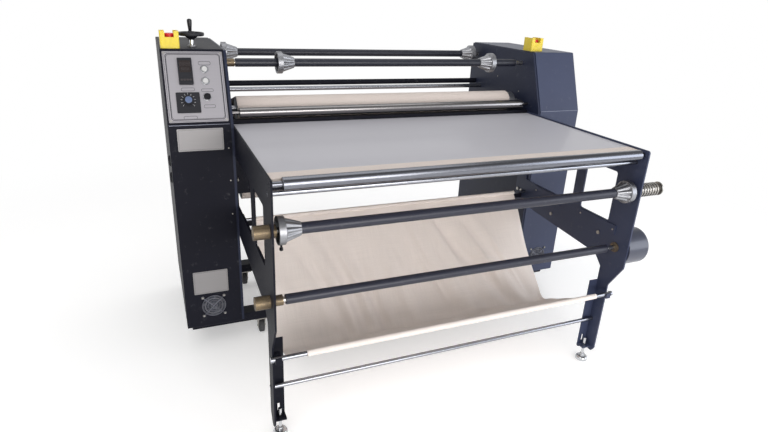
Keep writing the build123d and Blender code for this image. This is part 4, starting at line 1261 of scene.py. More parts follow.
@dataclass
class CatchCloth:
    """Cotton cloth that hangs in a trough between the rear bar and the front bar."""

    thickness: float = 0.0016
    rear_bar: float = 0.006
    front_bar: float = 0.008
    front_height: float = 0.338
    belly_from_rear: float = 0.320
    hem_start: float = 0.052
    margin: float = 0.001
    creases: tuple = (
        (-0.50, 0.30, 0.0050), (-0.36, 0.30, 0.0056), (-0.05, 0.36, 0.0066), (0.12, 0.30, 0.0052),
        (0.24, 0.36, 0.0070), (0.33, 0.36, 0.0072),
    )
    crease_width: float = 0.012
    lump: float = 0.0004
    hem_stations: int = 160
    hem_sides: int = 28
    side_pull: tuple[float, float] = (0.015, 0.006)
    curl: float = 0.008
    knees: tuple[tuple[float, float], tuple[float, float]] = ((0.056, 0.068), (-0.060, 0.036))
    across: int = 300
    along: int = 210

    def profile(self, count: int) -> np.ndarray:
        """Evenly spaced points in (y, z) from the rear bar through the belly to the front bar.

        Args:
            count: How many points.

        Returns:
            The points.
        """
        low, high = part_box("catch_cloth")
        gap = HAIR + self.thickness / 2
        belly = np.array([high[1] - self.belly_from_rear - 0.009, low[2] + 0.011])
        rear = np.array([high[1] - 0.0087, high[2] - 0.0027 - 2 * self.rear_bar - gap])
        front = np.array([low[1] + 0.0107, self.front_height - self.front_bar - gap])
        knots = np.array([rear, belly + self.knees[0], belly, belly + self.knees[1], front])
        sharp = self.rounded_line(knots)
        step = np.linalg.norm(np.diff(sharp, axis=0), axis=1)
        travelled = np.concatenate([[0], np.cumsum(step)])
        even = np.linspace(0, travelled[-1], count)
        return np.stack([np.interp(even, travelled, sharp[:, axis]) for axis in (0, 1)], axis=1)

    @staticmethod
    def rounded_line(knots: np.ndarray) -> np.ndarray:
        """Line, arc and line through five knots, smoothed where they meet.

        Args:
            knots: The five knots in (y, z).

        Returns:
            Points of the smoothed line.
        """
        first, knee, low, knee_front, last = knots
        run = np.linspace(0, 1, 60)[:, None]
        rear_run = first + (knee - first) * run
        weight = np.linspace(0, 1, 80)[1:, None]
        control = 2 * low - (knee + knee_front) / 2
        sag = 2 * weight * (1 - weight) * control
        bowl = (1 - weight) ** 2 * knee + sag + weight ** 2 * knee_front
        front_run = knee_front + (last - knee_front) * run[1:]
        line = np.concatenate([rear_run, bowl, front_run])
        kernel = np.hanning(41)
        kernel /= kernel.sum()
        before, after = (np.repeat(end, 20, axis=0) for end in (line[:1], line[-1:]))
        padded = np.concatenate([before, line, after])
        columns = [np.convolve(padded[:, axis], kernel, mode="valid") for axis in (0, 1)]
        soft = np.stack(columns, axis=1)
        share = np.minimum(np.arange(len(line)), np.arange(len(line))[::-1]) / 20
        keep = np.clip(share, 0, 1)[:, None]
        return line * (1 - keep) + soft * keep

    def folds(self, x: np.ndarray, s: np.ndarray) -> np.ndarray:
        """Height of the folds over the plain trough, in metres.

        Slanting soft waves, x minus a share of s, change their pitch slowly and swell in the
        middle of the run. A few narrow creases lie on them, and the hems hold all flat.

        Args:
            x: Place across the cloth in metres.
            s: Place along it from 0 at the rear bar to 1 at the front bar.

        Returns:
            The offset along the cloth's normal.
        """
        slant = x - 0.42 * s + 0.04 * np.sin(3.1 * x + 2.0 * s)
        wide = np.sin(21.0 * slant + 0.9 * np.sin(5.0 * x)) * (0.55 + 0.45 * np.sin(4.3 * x + 1.1))
        narrow = np.sin(57.0 * slant + 1.7 * np.sin(7.0 * x + 3 * s))
        narrow *= 0.5 + 0.5 * np.sin(9.7 * x - 4 * s)
        ripple = np.sin(110.0 * (x - 0.3 * s) + 3.0 * np.sin(11 * x))
        ripple *= np.clip(np.sin(6.1 * x + 5.0 * s), 0, 1)
        swell = np.sin(math.pi * np.clip(s, 0, 1)) ** 0.7
        towards_belly = 0.85 + 0.25 * np.exp(-((s - 0.40) / 0.17) ** 2)
        crease = np.zeros_like(x)
        for start, lean, depth in self.creases:
            distance = (x - start - lean * s) / self.crease_width
            reach = np.clip(np.sin(2.2 * math.pi * s - 0.8), 0, 1)
            crease += depth * np.exp(-distance ** 2) * reach
        belly = np.exp(-((s - 0.62) / 0.10) ** 2)
        sag = -0.005 * belly * np.cos(5.2 * x + 0.6) - 0.003 * belly * np.sin(13 * x)
        waves = 0.0120 * wide + 0.0100 * narrow + 0.0014 * ripple
        return swell * towards_belly * waves + crease + sag

    def build(self) -> None:
        """Folds a fine grid over the trough and closes it with a thickness."""
        low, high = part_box("catch_cloth")
        line = self.profile(self.along)
        slope = np.gradient(line, axis=0)
        slope /= np.linalg.norm(slope, axis=1)[:, None]
        normal = np.stack([slope[:, 1], -slope[:, 0]], axis=1)
        share = np.linspace(0, 1, self.along)
        x = np.linspace(low[0] + self.margin, high[0] - self.margin, self.across)
        j, i = np.meshgrid(np.arange(self.along), np.arange(self.across), indexing="ij")
        edge = (x[i] - x.mean()) / (x[-1] - x[0]) * 2
        pull = np.where(edge < 0, *self.side_pull) * np.sin(math.pi * share[j] ** 1.3)
        xs = x[i] - pull * np.sign(edge) * np.abs(edge) ** 6
        rise = self.curl * np.clip(np.abs(edge) - 0.975, 0, 1) / 0.025
        rise *= np.sin(math.pi * share[j]) ** 0.5
        height = self.folds(x[i], share[j]) + rise * np.sin(9 * share[j] + 2)
        middle = points_at(xs, *(line[j, axis] + normal[j, axis] * height for axis in (0, 1)))
        half = self.thickness / 2
        lift = points_at(np.zeros_like(xs), normal[j, 0] * half, normal[j, 1] * half)
        ring = np.concatenate([middle + lift, (middle - lift)[:, ::-1]], axis=1)
        length = float(np.linalg.norm(np.diff(line, axis=0), axis=1).sum())
        columns = 2 * self.across
        flat_x = np.concatenate([x[i], x[i][:, ::-1]], axis=1)
        uv = np.stack([flat_x, np.repeat(share[:, None] * length, columns, axis=1)], axis=-1)
        last = (self.along - 1) * columns
        first_row = [[k, columns - 1 - k, columns - 2 - k, k + 1] for k in range(self.across - 1)]
        last_row = [[last + face[corner] for corner in (0, 3, 2, 1)] for face in first_row]
        faces = grid_faces(self.along, columns, False, True).tolist() + first_row + last_row
        piece = piece_from("catch_cloth_sheet", (ring, faces), Coat.COTTON, flat=uv)
        start, end = float(x[0]), float(x[-1])
        rear = self.hem("catch_cloth_rear_hem", line[0], self.rear_bar, start, end)
        start += self.hem_start
        front = self.hem("catch_cloth_front_hem", line[-1], self.front_bar, start, end)
        for hem in (rear, front):
            hem.parent = piece
            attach(hem, ROOT)
        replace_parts(piece, "catch_cloth")

    def hem(
        self, name: str, end: np.ndarray, bar: float, low_x: float, high_x: float
    ) -> bpy.types.Object:
        """Sewn pocket round a bar over the cloth's end, slightly lumpy along its length.

        Args:
            name: The piece's name.
            end: Where the cloth meets the pocket, in (y, z).
            bar: The bar's radius.
            low_x: Left end.
            high_x: Right end.

        Returns:
            The pocket as its own piece.
        """
        inner = bar + HAIR
        centre = np.array([end[0], end[1] + (inner + self.thickness / 2)])
        count = self.hem_stations
        turn = full_turn(self.hem_sides)
        xs = np.linspace(low_x, high_x, count)
        i, k = np.meshgrid(np.arange(count), np.arange(len(turn)), indexing="ij")
        cosine, sine = np.cos(turn[k]), np.sin(turn[k])
        lump = self.lump * (1 + np.sin(xs[i] * 83 + 2 * sine)) * np.clip(-sine, 0, 1)
        outside, inside = (
            points_at(xs[i], centre[0] + radius * cosine, centre[1] + radius * sine)
            for radius in (inner + self.thickness + lump, inner)
        )
        faces = grid_faces(2 * count, len(turn), True, True)
        shape = (np.concatenate([outside, inside[::-1]]), faces)
        flat_x = np.concatenate([xs[i], xs[i][::-1]])
        uv = np.stack([flat_x, np.concatenate([turn[k], turn[k]]) * inner], axis=-1)
        return piece_from(name, shape, Coat.COTTON, flat=uv)


@dataclass
class ClampingCone:
    """Cast fluted cone that centres a roll's core on its shaft, with its thumb screw."""

    node: str
    shaft: str
    turn: float
    rim: float = 0.021
    rim_radius: float = 0.042
    big: float = 0.0365
    small: float = 0.0205
    hollow: float = 0.0335
    wall: float = 0.006
    flutes: int = 10
    flute_depth: float = 0.0052
    around: int = 240
    screw_radius: float = 0.003
    screw_out: float = 0.021
    feed_bore: float = 0.01705
    roll_bore: float = 0.01605

    @property
    def side(self) -> int:
        """1 where the rim faces +X."""
        return 1 if middle_of(self.node)[0] > 0 else -1

    def axis_point(self) -> np.ndarray:
        """The shaft axis at the cone's small end.

        Returns:
            The point.
        """
        low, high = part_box(self.node)
        centre = middle_of(self.shaft)
        return np.array([low[0] if self.side > 0 else high[0], centre[1], centre[2]])

    def profile(self, bore: float, length: float) -> np.ndarray:
        """Closed section in (along, radius), with a third column for how deep the flutes cut.

        Args:
            bore: Radius of the hole.
            length: Length along the shaft.

        Returns:
            The section's rows.
        """
        cone_end = length - self.rim
        cone_x = np.linspace(0.0012, cone_end - 0.0008, 22)
        share = cone_x / cone_end
        cone_r = self.small + (self.big - self.small) * share
        cut = 0.35 + 0.65 * share
        cut[0] = 0.25
        step = 0.0012
        rest = [
            (cone_end, self.big + 0.0006, 0.6),
            (cone_end, self.rim_radius - step, 0.0),
            (cone_end + step, self.rim_radius, 0.0),
            (length - step, self.rim_radius, 0.0),
            (length, self.rim_radius - step, 0.0),
            (length, self.hollow + step, 0.0),
            (length - step, self.hollow, 0.0),
            (cone_end + 0.004, self.hollow - 0.001, 0.0),
            (cone_end + 0.002, self.hollow - 0.004, 0.0),
            (cone_end + 0.002, bore + self.wall, 0.0),
            (cone_end + 0.005, bore + self.wall - 0.001, 0.0),
            (cone_end + 0.005, bore, 0.0),
            (0.0, bore, 0.0),
            (0.0, self.small - 0.0012, 0.2),
        ]
        outside = np.stack([cone_x, cone_r, cut], axis=1)
        return np.concatenate([outside, np.array(rest)])

    def build(self) -> None:
        """Revolves the section; on the cone the radius drops by the flute's depth.

        The flute's shape is a raised cosine of the turn to the power 1.6, so that the ribs
        between the flutes are broad and flat.
        """
        low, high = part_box(self.node)
        length = float(high[0] - low[0])
        bore = self.feed_bore if self.shaft == "feed_shaft" else self.roll_bore
        section = self.profile(bore, length)
        angle = full_turn(self.around)
        k, a = np.meshgrid(np.arange(len(section)), np.arange(self.around), indexing="ij")
        groove = (0.5 + 0.5 * np.cos(self.flutes * angle[a])) ** 1.6
        radius = section[k, 1] - self.flute_depth * section[k, 2] * groove
        origin = self.axis_point()
        points = about(origin, X_AXIS * self.side, section[k, 0], radius, angle[a])
        shape = (points, grid_faces(len(section), self.around, True, True))
        body = self.node + "_body"
        casting = piece_from(
            self.node + "_casting", shape, Coat.CAST_ALUMINIUM, body
        )
        screw = self.screw(origin, length, body)
        for piece in (crisp(casting, 40), screw):
            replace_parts(piece, self.node)

    def screw(self, origin: np.ndarray, length: float, body: str) -> bpy.types.Object:
        """Thumb screw with a knurled head, its knurls a cosine of the turn.

        Args:
            origin: The shaft axis at the small end.
            length: The cone's length.
            body: The body that carries it.

        Returns:
            The screw.
        """
        tilt = math.radians(self.turn)
        out = np.array([0.0, -math.sin(tilt), math.cos(tilt)])
        start = origin + X_AXIS * self.side * (length - self.rim / 2 - 0.001)
        reach = self.rim_radius + self.screw_out
        head = reach - 0.009
        base = self.rim_radius - 0.006
        knurl_r = 0.0056
        profile = [
            (base, 0.0), (base, self.screw_radius), (head - 0.001, self.screw_radius),
            (head, knurl_r - 0.001), (head + 0.001, knurl_r), (reach - 0.001, knurl_r),
            (reach, knurl_r - 0.001), (reach, 0.0),
        ]
        shape = lathe(start, out, profile, 40)
        name = self.node + "_thumb_screw"
        return crisp(piece_from(name, shape, Coat.BLACK_GLOSS, body))


CONES = (
    ClampingCone("feed_left_cone", "feed_shaft", 180.0),
    ClampingCone("feed_right_cone", "feed_shaft", 246.0),
    ClampingCone("front_roll_left_cone", "front_roll_shaft", 290.0),
    ClampingCone("front_roll_right_cone", "front_roll_shaft", 246.0),
    ClampingCone("rear_roll_left_cone", "rear_roll_shaft", 246.0),
    ClampingCone("rear_roll_right_cone", "rear_roll_shaft", 246.0),
)


@dataclass
class HandwheelLook:
    """Black plastic handwheel with a dished top, a tapering hub and a turning handle."""

    rim_radius: float = 0.046
    rim_height: float = 0.013
    skirt_radius: float = 0.026
    collar_radius: float = 0.0105
    screw_radius: float = 0.008
    grip_gap: float = 0.0005
    hub_height: float = 0.014

    def build(self) -> None:
        """Turns the wheel, its chrome screw and the handle, each from a profile."""
        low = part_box("handwheel")[0]
        wheel_middle = middle_of("handwheel")
        grip_low, grip_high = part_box("handwheel_grip")
        deck = grip_low[2] - self.grip_gap
        base = deck - self.rim_height
        centre = np.array([wheel_middle[0], wheel_middle[1], 0.0])
        rim = self.rim_radius
        hub_low = base - self.hub_height
        wheel = [
            (hub_low, 0.0), (hub_low, self.collar_radius),
            (hub_low + 0.004, self.collar_radius + 0.0015),
            (base - 0.004, self.skirt_radius - 0.006), (base + 0.001, self.skirt_radius + 0.004),
            (base + 0.0015, rim - 0.008), (base, rim - 0.004), (base + 0.0012, rim - 0.0012),
            (base + 0.004, rim), (base + 0.009, rim),
            (base + 0.012, rim - 0.0014), (deck, rim - 0.004),
            (deck - 0.0006, rim - 0.008), (deck - 0.004, rim - 0.011), (deck - 0.0044, 0.018),
            (deck - 0.001, 0.0135), (deck + 0.0028, 0.0125), (deck + 0.003, 0.0),
        ]
        body = "handwheel_body"
        shape = lathe(centre, Z_AXIS, wheel, 96)
        disc = piece_from("handwheel_wheel", shape, Coat.BLACK_PLASTIC, body)
        foot, top = (centre + Z_AXIS * z for z in (low[2], hub_low + 0.001))
        shape = tube(foot, top, self.screw_radius, 32)
        screw = piece_from("handwheel_screw", shape, Coat.CHROME_UPRIGHT, body)
        for piece in (crisp(disc, 30), crisp(screw)):
            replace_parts(piece, "handwheel")
        self.handle(grip_low, grip_high)

    def handle(self, low: Sequence[float], high: Sequence[float]) -> None:
        """Handle that swells towards its rounded top.

        Args:
            low: Low corner of the grip's box.
            high: High corner of it.
        """
        centre = np.array([(low[0] + high[0]) / 2, (low[1] + high[1]) / 2, low[2]])
        height = high[2] - low[2]
        radius = (high[0] - low[0]) / 2
        share = np.linspace(0, 1, 18)
        waist = radius * (0.68 + 0.3 * np.sin(0.5 * math.pi * share) ** 1.4)
        side = [(float(0.002 + (height - 0.008) * t), float(r)) for t, r in zip(share, waist)]
        cap = [(height - 0.006 + 0.006 * math.sin(a), radius * 0.98 * math.cos(a))
               for a in np.linspace(0.15, math.pi / 2, 9)]
        profile = [(0.0, 0.0), (0.0, radius * 0.6), (0.001, radius * 0.68), *side, *cap]
        shape = lathe(centre, Z_AXIS, profile, 48)
        piece = piece_from(
            "handwheel_handle", shape, Coat.BLACK_GLOSS, "handwheel_grip_body"
        )
        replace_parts(crisp(piece, 50), "handwheel_grip")


@dataclass
class PanelFace:
    """Printed lines, blank label frames, scale and display on the leaning control panel."""

    thickness: float = 0.002
    width: float = 0.202
    height: float = 0.250
    print_lift: float = HAIR
    ink: float = 0.0002
    controller_height: float = 0.094
    controller_lift: float = 0.007
    window_up: float = 0.017
    window_height: float = 0.042
    digit_rows: tuple[tuple[float, float], ...] = ((0.026, 0.0135), (0.008, 0.0095))
    columns: int = 4
    key_pitch: float = 0.0098
    key_down: float = 0.030
    dial_lift: float = 0.0025
    mark_start: float = 0.0195
    knob_height: float = 0.016
    selector_lift: float = 0.0192
    label_places: tuple = (
        (0.684, 0.166, 0.042, 0.014),
        (0.365, 0.536, 0.046, 0.012),
        (0.689, 0.552, 0.042, 0.011),
        (0.703, 0.781, 0.040, 0.012),
        (0.362, 0.934, 0.046, 0.011),
    )
    scale_marks: int = 11

    def sheet(self) -> Sheet:
        """The panel's front face, its origin in the middle.

        Returns:
            The face.
        """
        low, high = map(np.array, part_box("control_panel"))
        lean = math.asin((high[1] - low[1] - self.thickness) / self.height)
        up = np.array([0.0, math.sin(lean), math.cos(lean)])
        out = np.cross(X_AXIS, up)
        centre = (low + high) / 2 + out * self.thickness / 2
        return Sheet(centre, X_AXIS, up)

    def spot(self, across: float, down: float) -> tuple[float, float]:
        """Place on the panel from shares of its width and height."""
        return (across - 0.5) * self.width, (0.5 - down) * self.height

    def on_sheet(self, sheet: Sheet, node: str) -> np.ndarray:
        """Place of a node's centre on the panel's sheet."""
        offset = middle_of(node) - sheet.origin
        return np.array([offset @ sheet.across, offset @ sheet.up])

    def build(self) -> None:
        """Prints the panel, then dresses the controller, the dial and the selector."""
        sheet = self.sheet()
        frames = [
            (rounded((0, 0), self.width - 0.006, self.height - 0.006, 0.003), 0.001),
            (chamfered((0, 0), self.width - 0.017, self.height - 0.015, 0.007), 0.0021),
            (chamfered((0, 0), self.width - 0.022, self.height - 0.022, 0.007), 0.0011),
        ]
        for across, down, width, height in self.label_places:
            frames.append((rounded(self.spot(across, down), width, height, height * 0.45), 0.0011))
        lines = [sheet.line(outline, width, 0.0, self.print_lift) for outline, width in frames]
        piece_from("panel_print", joined(lines), Coat.DARK_PRINT, smooth=False)
        self.controller(sheet)
        self.dial(sheet)
        self.selector(sheet)

    def controller(self, sheet: Sheet) -> None:
        """Window, dim unlit digits and keys of the temperature controller.

        Args:
            sheet: The panel's face.
        """
        low, high = map(np.array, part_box("temperature_controller"))
        face = self.controller_lift
        reach = (high[2] - sheet.origin[2]) / sheet.up[2]
        up = reach - self.controller_height / 2 - face * sheet.out[2] / sheet.up[2]
        spot = np.array([(low[0] + high[0]) / 2 - sheet.origin[0], up])
        place = (spot[0], spot[1] + self.window_up)
        window = rounded(place, high[0] - low[0] - 0.010, self.window_height, 0.001)
        pane = sheet.slab(window, face - 3 * HAIR, face - HAIR)
        piece_from("controller_window", pane, Coat.DARK_GLASS, smooth=False)
        bars = []
        middle = (self.columns - 1) / 2
        for row, size in self.digit_rows:
            for column in range(self.columns):
                centre = (spot[0] + (column - middle) * size * 0.72, spot[1] + row)
                bars += self.digit(sheet, centre, size, face - HAIR)
        piece_from("controller_digits", joined(bars), Coat.DIM_PRINT, smooth=False)
        keys = []
        for column in range(self.columns):
            centre = (spot[0] + (column - middle) * self.key_pitch, spot[1] - self.key_down)
            outline = rounded(centre, 0.0074, 0.006, 0.0012)
            keys.append(sheet.slab(outline, face - 0.0005, face + 0.0008))
        piece_from("controller_keys", joined(keys), Coat.DIM_PRINT, smooth=False)

    def digit(
        self, sheet: Sheet, centre: tuple[float, float], size: float, lift: float
    ) -> list[tuple]:
        """The seven bars of one display digit.

        Args:
            sheet: The panel's face.
            centre: Middle of the digit in (across, up).
            size: Height of its cell.
            lift: Height over the panel.

        Returns:
            Points and faces of each bar.
        """
        width = size * 0.46
        height = size * 0.42
        thick = size * 0.09
        flat = [(0.0, dy, width, thick) for dy in (-height, 0.0, height)]
        upright = [
            (dx, dy, thick, height * 0.82)
            for dx in (-width / 2, width / 2)
            for dy in (-height / 2, height / 2)
        ]
        bars = []
        for dx, dy, wide, tall in flat + upright:
            outline = rounded((centre[0] + dx, centre[1] + dy), wide, tall, thick * 0.3, 2)
            bars.append(sheet.slab(outline, lift, lift + self.ink))
        return bars

    def dial(self, sheet: Sheet) -> None:
        """Scale marks round the speed knob and the knob's pale blue cap.

        Args:
            sheet: The panel's face.
        """
        spot = self.on_sheet(sheet, "speed_knob")
        deck = self.dial_lift
        marks = []
        for k in range(self.scale_marks):
            turn = math.radians(225 - 270 * k / (self.scale_marks - 1))
            direction = np.array([math.cos(turn), math.sin(turn)])
            side = np.array([-direction[1], direction[0]])
            inner = spot + direction * self.mark_start
            outer = spot + direction * (0.0275 if k % 5 == 0 else 0.0255)
            outline = tapered(inner, outer, side, 0.0003, 0.0005)
            marks.append(sheet.slab(outline, deck, deck + self.ink))
        piece_from("speed_scale", joined(marks), Coat.WHITE_PRINT, smooth=False)
        top = deck + 0.0005 + self.knob_height
        centre = sheet.origin + sheet.across * spot[0] + sheet.up * spot[1] + sheet.out * top
        cap = [
            (0.0, 0.0), (0.0, 0.0118), (0.0006, 0.0115), (0.0011, 0.0105), (0.0008, 0.004),
            (0.0008, 0.0),
        ]
        shape = lathe(centre, sheet.out, cap, 48)
        crisp(piece_from("speed_knob_cap", shape, Coat.BLUE_CAP, "speed_knob_body"))

    def selector(self, sheet: Sheet) -> None:
        """White line on the selector's raised bar.

        Args:
            sheet: The panel's face.
        """
        spot = self.on_sheet(sheet, "selector_knob")
        direction = np.array([math.sin(math.pi / 4), math.cos(math.pi / 4)])
        side = np.array([direction[1], -direction[0]])
        outline = tapered(spot + direction * 0.001, spot + direction * 0.0095, side, 0.0009, 0.0009)
        mark = sheet.slab(outline[::-1], self.selector_lift, self.selector_lift + HAIR)
        piece_from(
            "selector_mark", mark, Coat.WHITE_PRINT, "selector_knob_body",
            smooth=False,
        )


@dataclass
class FanGuards:
    """Fine wire rings and crossed wires over each cabinet fan."""

    rings: int = 9
    outer: float = 0.0455
    inner: float = 0.0085
    wire: float = 0.00075
    lift: float = 0.0026
    cross_half: float = 0.058
    cross_wire: float = 0.0013

    def build(self) -> None:
        """Rings of round wire at even steps, with two straight wires across them."""
        cabinet_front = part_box("left_cabinet_cover")[0][1]
        for side in ("left", "right"):
            centre = middle_of(side + "_fan_rotor")
            centre[1] = cabinet_front - self.lift
            parts = [hoop(centre, -Y_AXIS, float(radius), self.wire)
                     for radius in np.linspace(self.inner, self.outer, self.rings)]
            for turn in (45, 135):
                angle = math.radians(turn)
                direction = np.array([math.cos(angle), 0.0, math.sin(angle)])
                away = -Y_AXIS * self.wire
                reach = direction * self.cross_half
                parts.append(tube(centre - reach + away, centre + reach + away, self.cross_wire, 8))
            piece_from(side + "_fan_guard_wires", joined(parts), Coat.GUARD_WIRE)


@dataclass
class CabinetTrim:
    """Blank plates, painted highlight lines on the folds, screws and sockets on the two cabinets.
    """

    warning: tuple[float, float, float, float] = (-0.794, 0.8965, 0.158, 0.081)
    name_plate: tuple[float, float, float, float] = (-0.798, 0.320, 0.131, 0.098)
    knee: float = 0.950
    plate_t: float = 0.0009
    screw_radius: float = 0.0028
    cover_screws: tuple[float, ...] = (0.86, 0.735, 0.6)
    wall_screws: tuple[tuple[float, float], ...] = ((0.361, 1.059), (0.173, 1.014))
    wall_x: float = 0.676
    socket_back: float = 0.09
    socket_heights: tuple[float, float] = (0.80, 0.735)

    def front(self) -> Sheet:
        """The upright front of the cabinets, its origin on the floor at X 0."""
        return Sheet(np.array([0.0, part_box("left_cabinet_cover")[0][1], 0.0]), X_AXIS, Z_AXIS)

    def build(self) -> None:
        """Plates first, then the painted fold highlights, screws and the sockets on the outer side.
        """
        front = self.front()
        plates = {"upper_plate": self.warning, "lower_plate": self.name_plate}
        for name, (x, z, width, height) in plates.items():
            outline = rounded((x, z), width, height, 0.003)
            plate = front.slab(outline, 0.0, self.plate_t)
            piece_from(name, plate, Coat.PLATE, smooth=False)
            inner = rounded((x, z), width - 0.008, height - 0.008, 0.002)
            border = front.line(inner, 0.0005, self.plate_t, self.plate_t + 0.0002)
            piece_from(name + "_line", border, Coat.DARK_PRINT, smooth=False)
        self.fold_highlights(front)
        self.screws(front)
        self.sockets(front)

    def fold_highlights(self, front: Sheet) -> None:
        """Thin raised line across each cabinet front at the knee, in light grey metal: a painted
        highlight on the fold.

        Args:
            front: The cabinets' front.
        """
        parts = []
        for node in ("left_cabinet_cover", "right_cabinet_cover"):
            low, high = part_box(node)
            middle = ((low[0] + high[0]) / 2, self.knee)
            outline = rounded(middle, high[0] - low[0] - 0.008, 0.0016, 0.0004, 3)
            parts.append(front.slab(outline, -0.0004, 0.0004))
        # Painted highlight: the fold in the black sheet is drawn as a light metal line.
        piece_from("knee_fold_highlights", joined(parts), Coat.GUARD_WIRE, smooth=False)

    def screws(self, front: Sheet) -> None:
        """Small domed screws along the left cabinet's inner edge and on the bearing walls.

        Args:
            front: The cabinets' front.
        """
        parts = []
        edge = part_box("left_cabinet_cover")[1][0] - 0.012
        front_y = front.origin[1]
        for z in self.cover_screws:
            parts.append(self.screw(np.array([edge, front_y, z]), -Y_AXIS))
        for side in (-1, 1):
            for back, z in self.wall_screws:
                seat = np.array([side * self.wall_x, front_y + back, z])
                parts.append(self.screw(seat, -X_AXIS * side))
        crisp(piece_from("cover_screws", joined(parts), Coat.ZINC))

    def screw(self, seat: np.ndarray, out: np.ndarray) -> tuple:
        """Domed head: its height falls with the square of the radius.

        Args:
            seat: Middle of the head's foot.
            out: Unit direction that it faces.

        Returns:
            Points and faces.
        """
        radii = np.linspace(self.screw_radius, 0, 6)
        dome = [(0.0016 * (1 - (r / self.screw_radius) ** 2) + 0.0004, float(r)) for r in radii]
        return lathe(seat, out, [(-0.0002, 0.0), (-0.0002, self.screw_radius), *dome], 16)

    def sockets(self, front: Sheet) -> None:
        """Two small round sockets on the left cabinet's outer side.

        Args:
            front: The cabinets' front.
        """
        side_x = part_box("left_cabinet_cover")[0][0]
        ring = [
            (0.0, 0.0), (0.0, 0.021), (0.004, 0.021), (0.008, 0.017), (0.008, 0.012),
            (0.002, 0.011), (0.002, 0.0),
        ]
        back_y = front.origin[1] + self.socket_back
        seats = [np.array([side_x, back_y, z]) for z in self.socket_heights]
        parts = [lathe(seat, -X_AXIS, ring, 40) for seat in seats]
        crisp(piece_from("side_sockets", joined(parts), Coat.BLACK_PLASTIC))


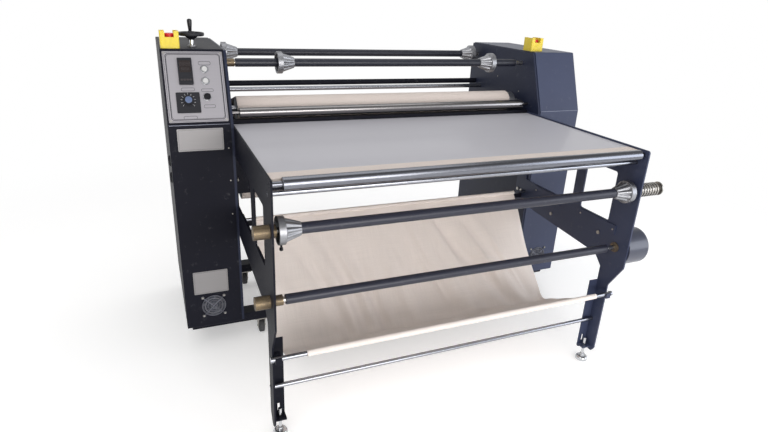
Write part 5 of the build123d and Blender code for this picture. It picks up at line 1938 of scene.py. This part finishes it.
@dataclass
class Studio:
    """Camera at the photograph's angle, soft lamps, a pale floor and a white surround."""

    camera_at: tuple[float, float, float] = (-0.9455, -2.0281, 1.4032)
    right: tuple[float, float, float] = (0.92396, -0.37979, 0.04531)
    down: tuple[float, float, float] = (-0.10141, -0.35748, -0.92840)
    forward: tuple[float, float, float] = (0.36879, 0.85321, -0.36881)
    focal_px: float = 552.2
    frame_px: float = 768.0
    sensor: float = 36.0
    reach: float = 40.0
    lift: float = 0.3
    aim: float = 0.7
    floor_sides: int = 96
    floor_height: float = -0.0005
    lamps: tuple = (
        ("key", (-2.6, -2.6, 3.6), 2.4, 40.0, (1.0, 0.985, 0.96)),
        ("side", (3.9, -3.2, 1.5), 2.6, 62.0, (0.86, 0.91, 1.0)),
        ("front", (0.2, -4.8, 0.9), 3.0, 150.0, (1.0, 0.97, 0.95)),
        ("top", (0.3, 0.6, 3.9), 3.0, 34.0, (1.0, 1.0, 1.0)),
    )

    def build(self) -> None:
        """Sets up everything round the object."""
        self.camera()
        self.surround()
        self.floor()
        for name, place, size, power, colour in self.lamps:
            self.lamp(name, np.array(place), size, power, colour)
        bpy.context.scene.view_settings.view_transform = "Standard"

    def camera(self) -> None:
        """Camera whose axes are the solved directions of the photograph."""
        data = bpy.data.cameras.new("camera")
        data.sensor_width = self.sensor
        data.lens = self.focal_px / self.frame_px * self.sensor
        data.clip_end = 60.0
        eye = new_object("camera", data)
        right, down, forward = map(np.array, (self.right, self.down, self.forward))
        eye.matrix_world = self.turned(right, -down, -forward, np.array(self.camera_at))
        bpy.context.scene.camera = eye

    @staticmethod
    def turned(x: np.ndarray, y: np.ndarray, z: np.ndarray, place: np.ndarray) -> Matrix:
        """Matrix from three directions and a place.

        Args:
            x: First direction.
            y: Second direction.
            z: Third direction.
            place: The origin.

        Returns:
            The matrix.
        """
        axes = [axis / np.linalg.norm(axis) for axis in (x, y, z)]
        rows = np.column_stack([*axes, place]).tolist()
        return Matrix(rows + [[0.0, 0.0, 0.0, 1.0]])

    def lamp(self, name: str, place: np.ndarray, size: float, power: float, colour: Colour) -> None:
        """Square soft lamp that faces the middle of the machine.

        Args:
            name: The lamp's name.
            place: Where it stands.
            size: Side of its square.
            power: Watts.
            colour: Colour of its light.
        """
        data = bpy.data.lights.new(name, "AREA")
        data.size = size
        data.energy = power
        data.color = colour
        lamp = new_object(name, data)
        away = place - self.aim * Z_AXIS
        away /= np.linalg.norm(away)
        side = np.cross(Z_AXIS if abs(away[2]) < 0.95 else Y_AXIS, away)
        side /= np.linalg.norm(side)
        lamp.matrix_world = self.turned(side, np.cross(away, side), away, place)

    @staticmethod
    def seen(dye: Dye) -> Value:
        """1 for rays from the camera, from a mirror or through glass, and 0 for diffuse light.

        Args:
            dye: The tree that asks.

        Returns:
            The share from 0 to 1.
        """
        path = dye.node("ShaderNodeLightPath")
        names = ("Is Camera Ray", "Is Glossy Ray", "Is Transmission Ray")
        camera, glossy, through = (Value(dye, path.outputs[name]) for name in names)
        return camera.math("MAXIMUM", camera, glossy.math("MAXIMUM", glossy, through))

    def surround(self) -> None:
        """White wall that darkens overhead where it is seen, and a soft grey room as light."""
        world = bpy.data.worlds.new("surround")
        bpy.context.scene.world = world
        world.use_nodes = True
        dye = Dye(world.node_tree)
        place = dye.read("ShaderNodeTexCoord", "Generated")
        depth = 0.62 - dye.part(place, 1).step(-0.5, 0.7) * 0.12
        wall = 1.0 - dye.part(place, 2).step(0.3, 0.75) * 0.72
        room = dye.node("ShaderNodeBackground", {"Color": dye.grey(depth)})
        white = dye.node("ShaderNodeBackground", {"Color": dye.grey(wall)})
        output = dye.node("ShaderNodeOutputWorld")
        dye.join(dye.blend(self.seen(dye), room, white), output, "Surface")

    def floor(self) -> None:
        """White round floor that keeps the machine's shadow and fades to pure white far off."""
        turn = full_turn(self.floor_sides)
        height = np.full(len(turn), self.floor_height)
        points = points_at(self.reach * np.cos(turn), self.reach * np.sin(turn), height)
        mesh = bpy.data.meshes.new("floor")
        mesh.from_pydata(points.tolist(), [], [list(range(len(turn)))])
        floor = new_object("floor", mesh)
        dye = Paint("floor_paint")
        place = dye.place()
        x = dye.part(place, 0)
        y = dye.part(place, 1)
        far = ((x * x + y * y) ** 0.5).step(1.6, 3.4)
        dye.finish(Base_Color=(0.9, 0.9, 0.9), Roughness=0.9, Specular_IOR_Level=0.1)
        seen = self.seen(dye)
        glow = dye.node("ShaderNodeEmission", {"Color": WHITE, "Strength": seen})
        lift = dye.node("ShaderNodeEmission", {"Color": WHITE, "Strength": seen * self.lift})
        lit = dye.node("ShaderNodeAddShader")
        dye.join(dye.shader, lit, 0)
        dye.join(lift, lit, 1)
        dye.join(dye.blend(far * seen, lit, glow), dye.output, "Surface")
        mesh.materials.append(dye.made)


def dress_cad() -> None:
    """Gives each carried-over node its coat."""
    for coat, nodes in CAD_COATS.items():
        for node in nodes.split():
            wear(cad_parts[node], coat)
            log.info("%s wears %s", node, coat.value.name)


def main() -> None:
    """Builds the studio, dresses the solids and adds every piece."""
    logging.basicConfig(level=logging.INFO)
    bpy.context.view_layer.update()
    Studio().build()
    dress_cad()
    FeltBlanket().build()
    TableFelt().build()
    CatchCloth().build()
    for cone in CONES:
        cone.build()
    HandwheelLook().build()
    PanelFace().build()
    FanGuards().build()
    CabinetTrim().build()


if __name__ == "__main__":
    main()
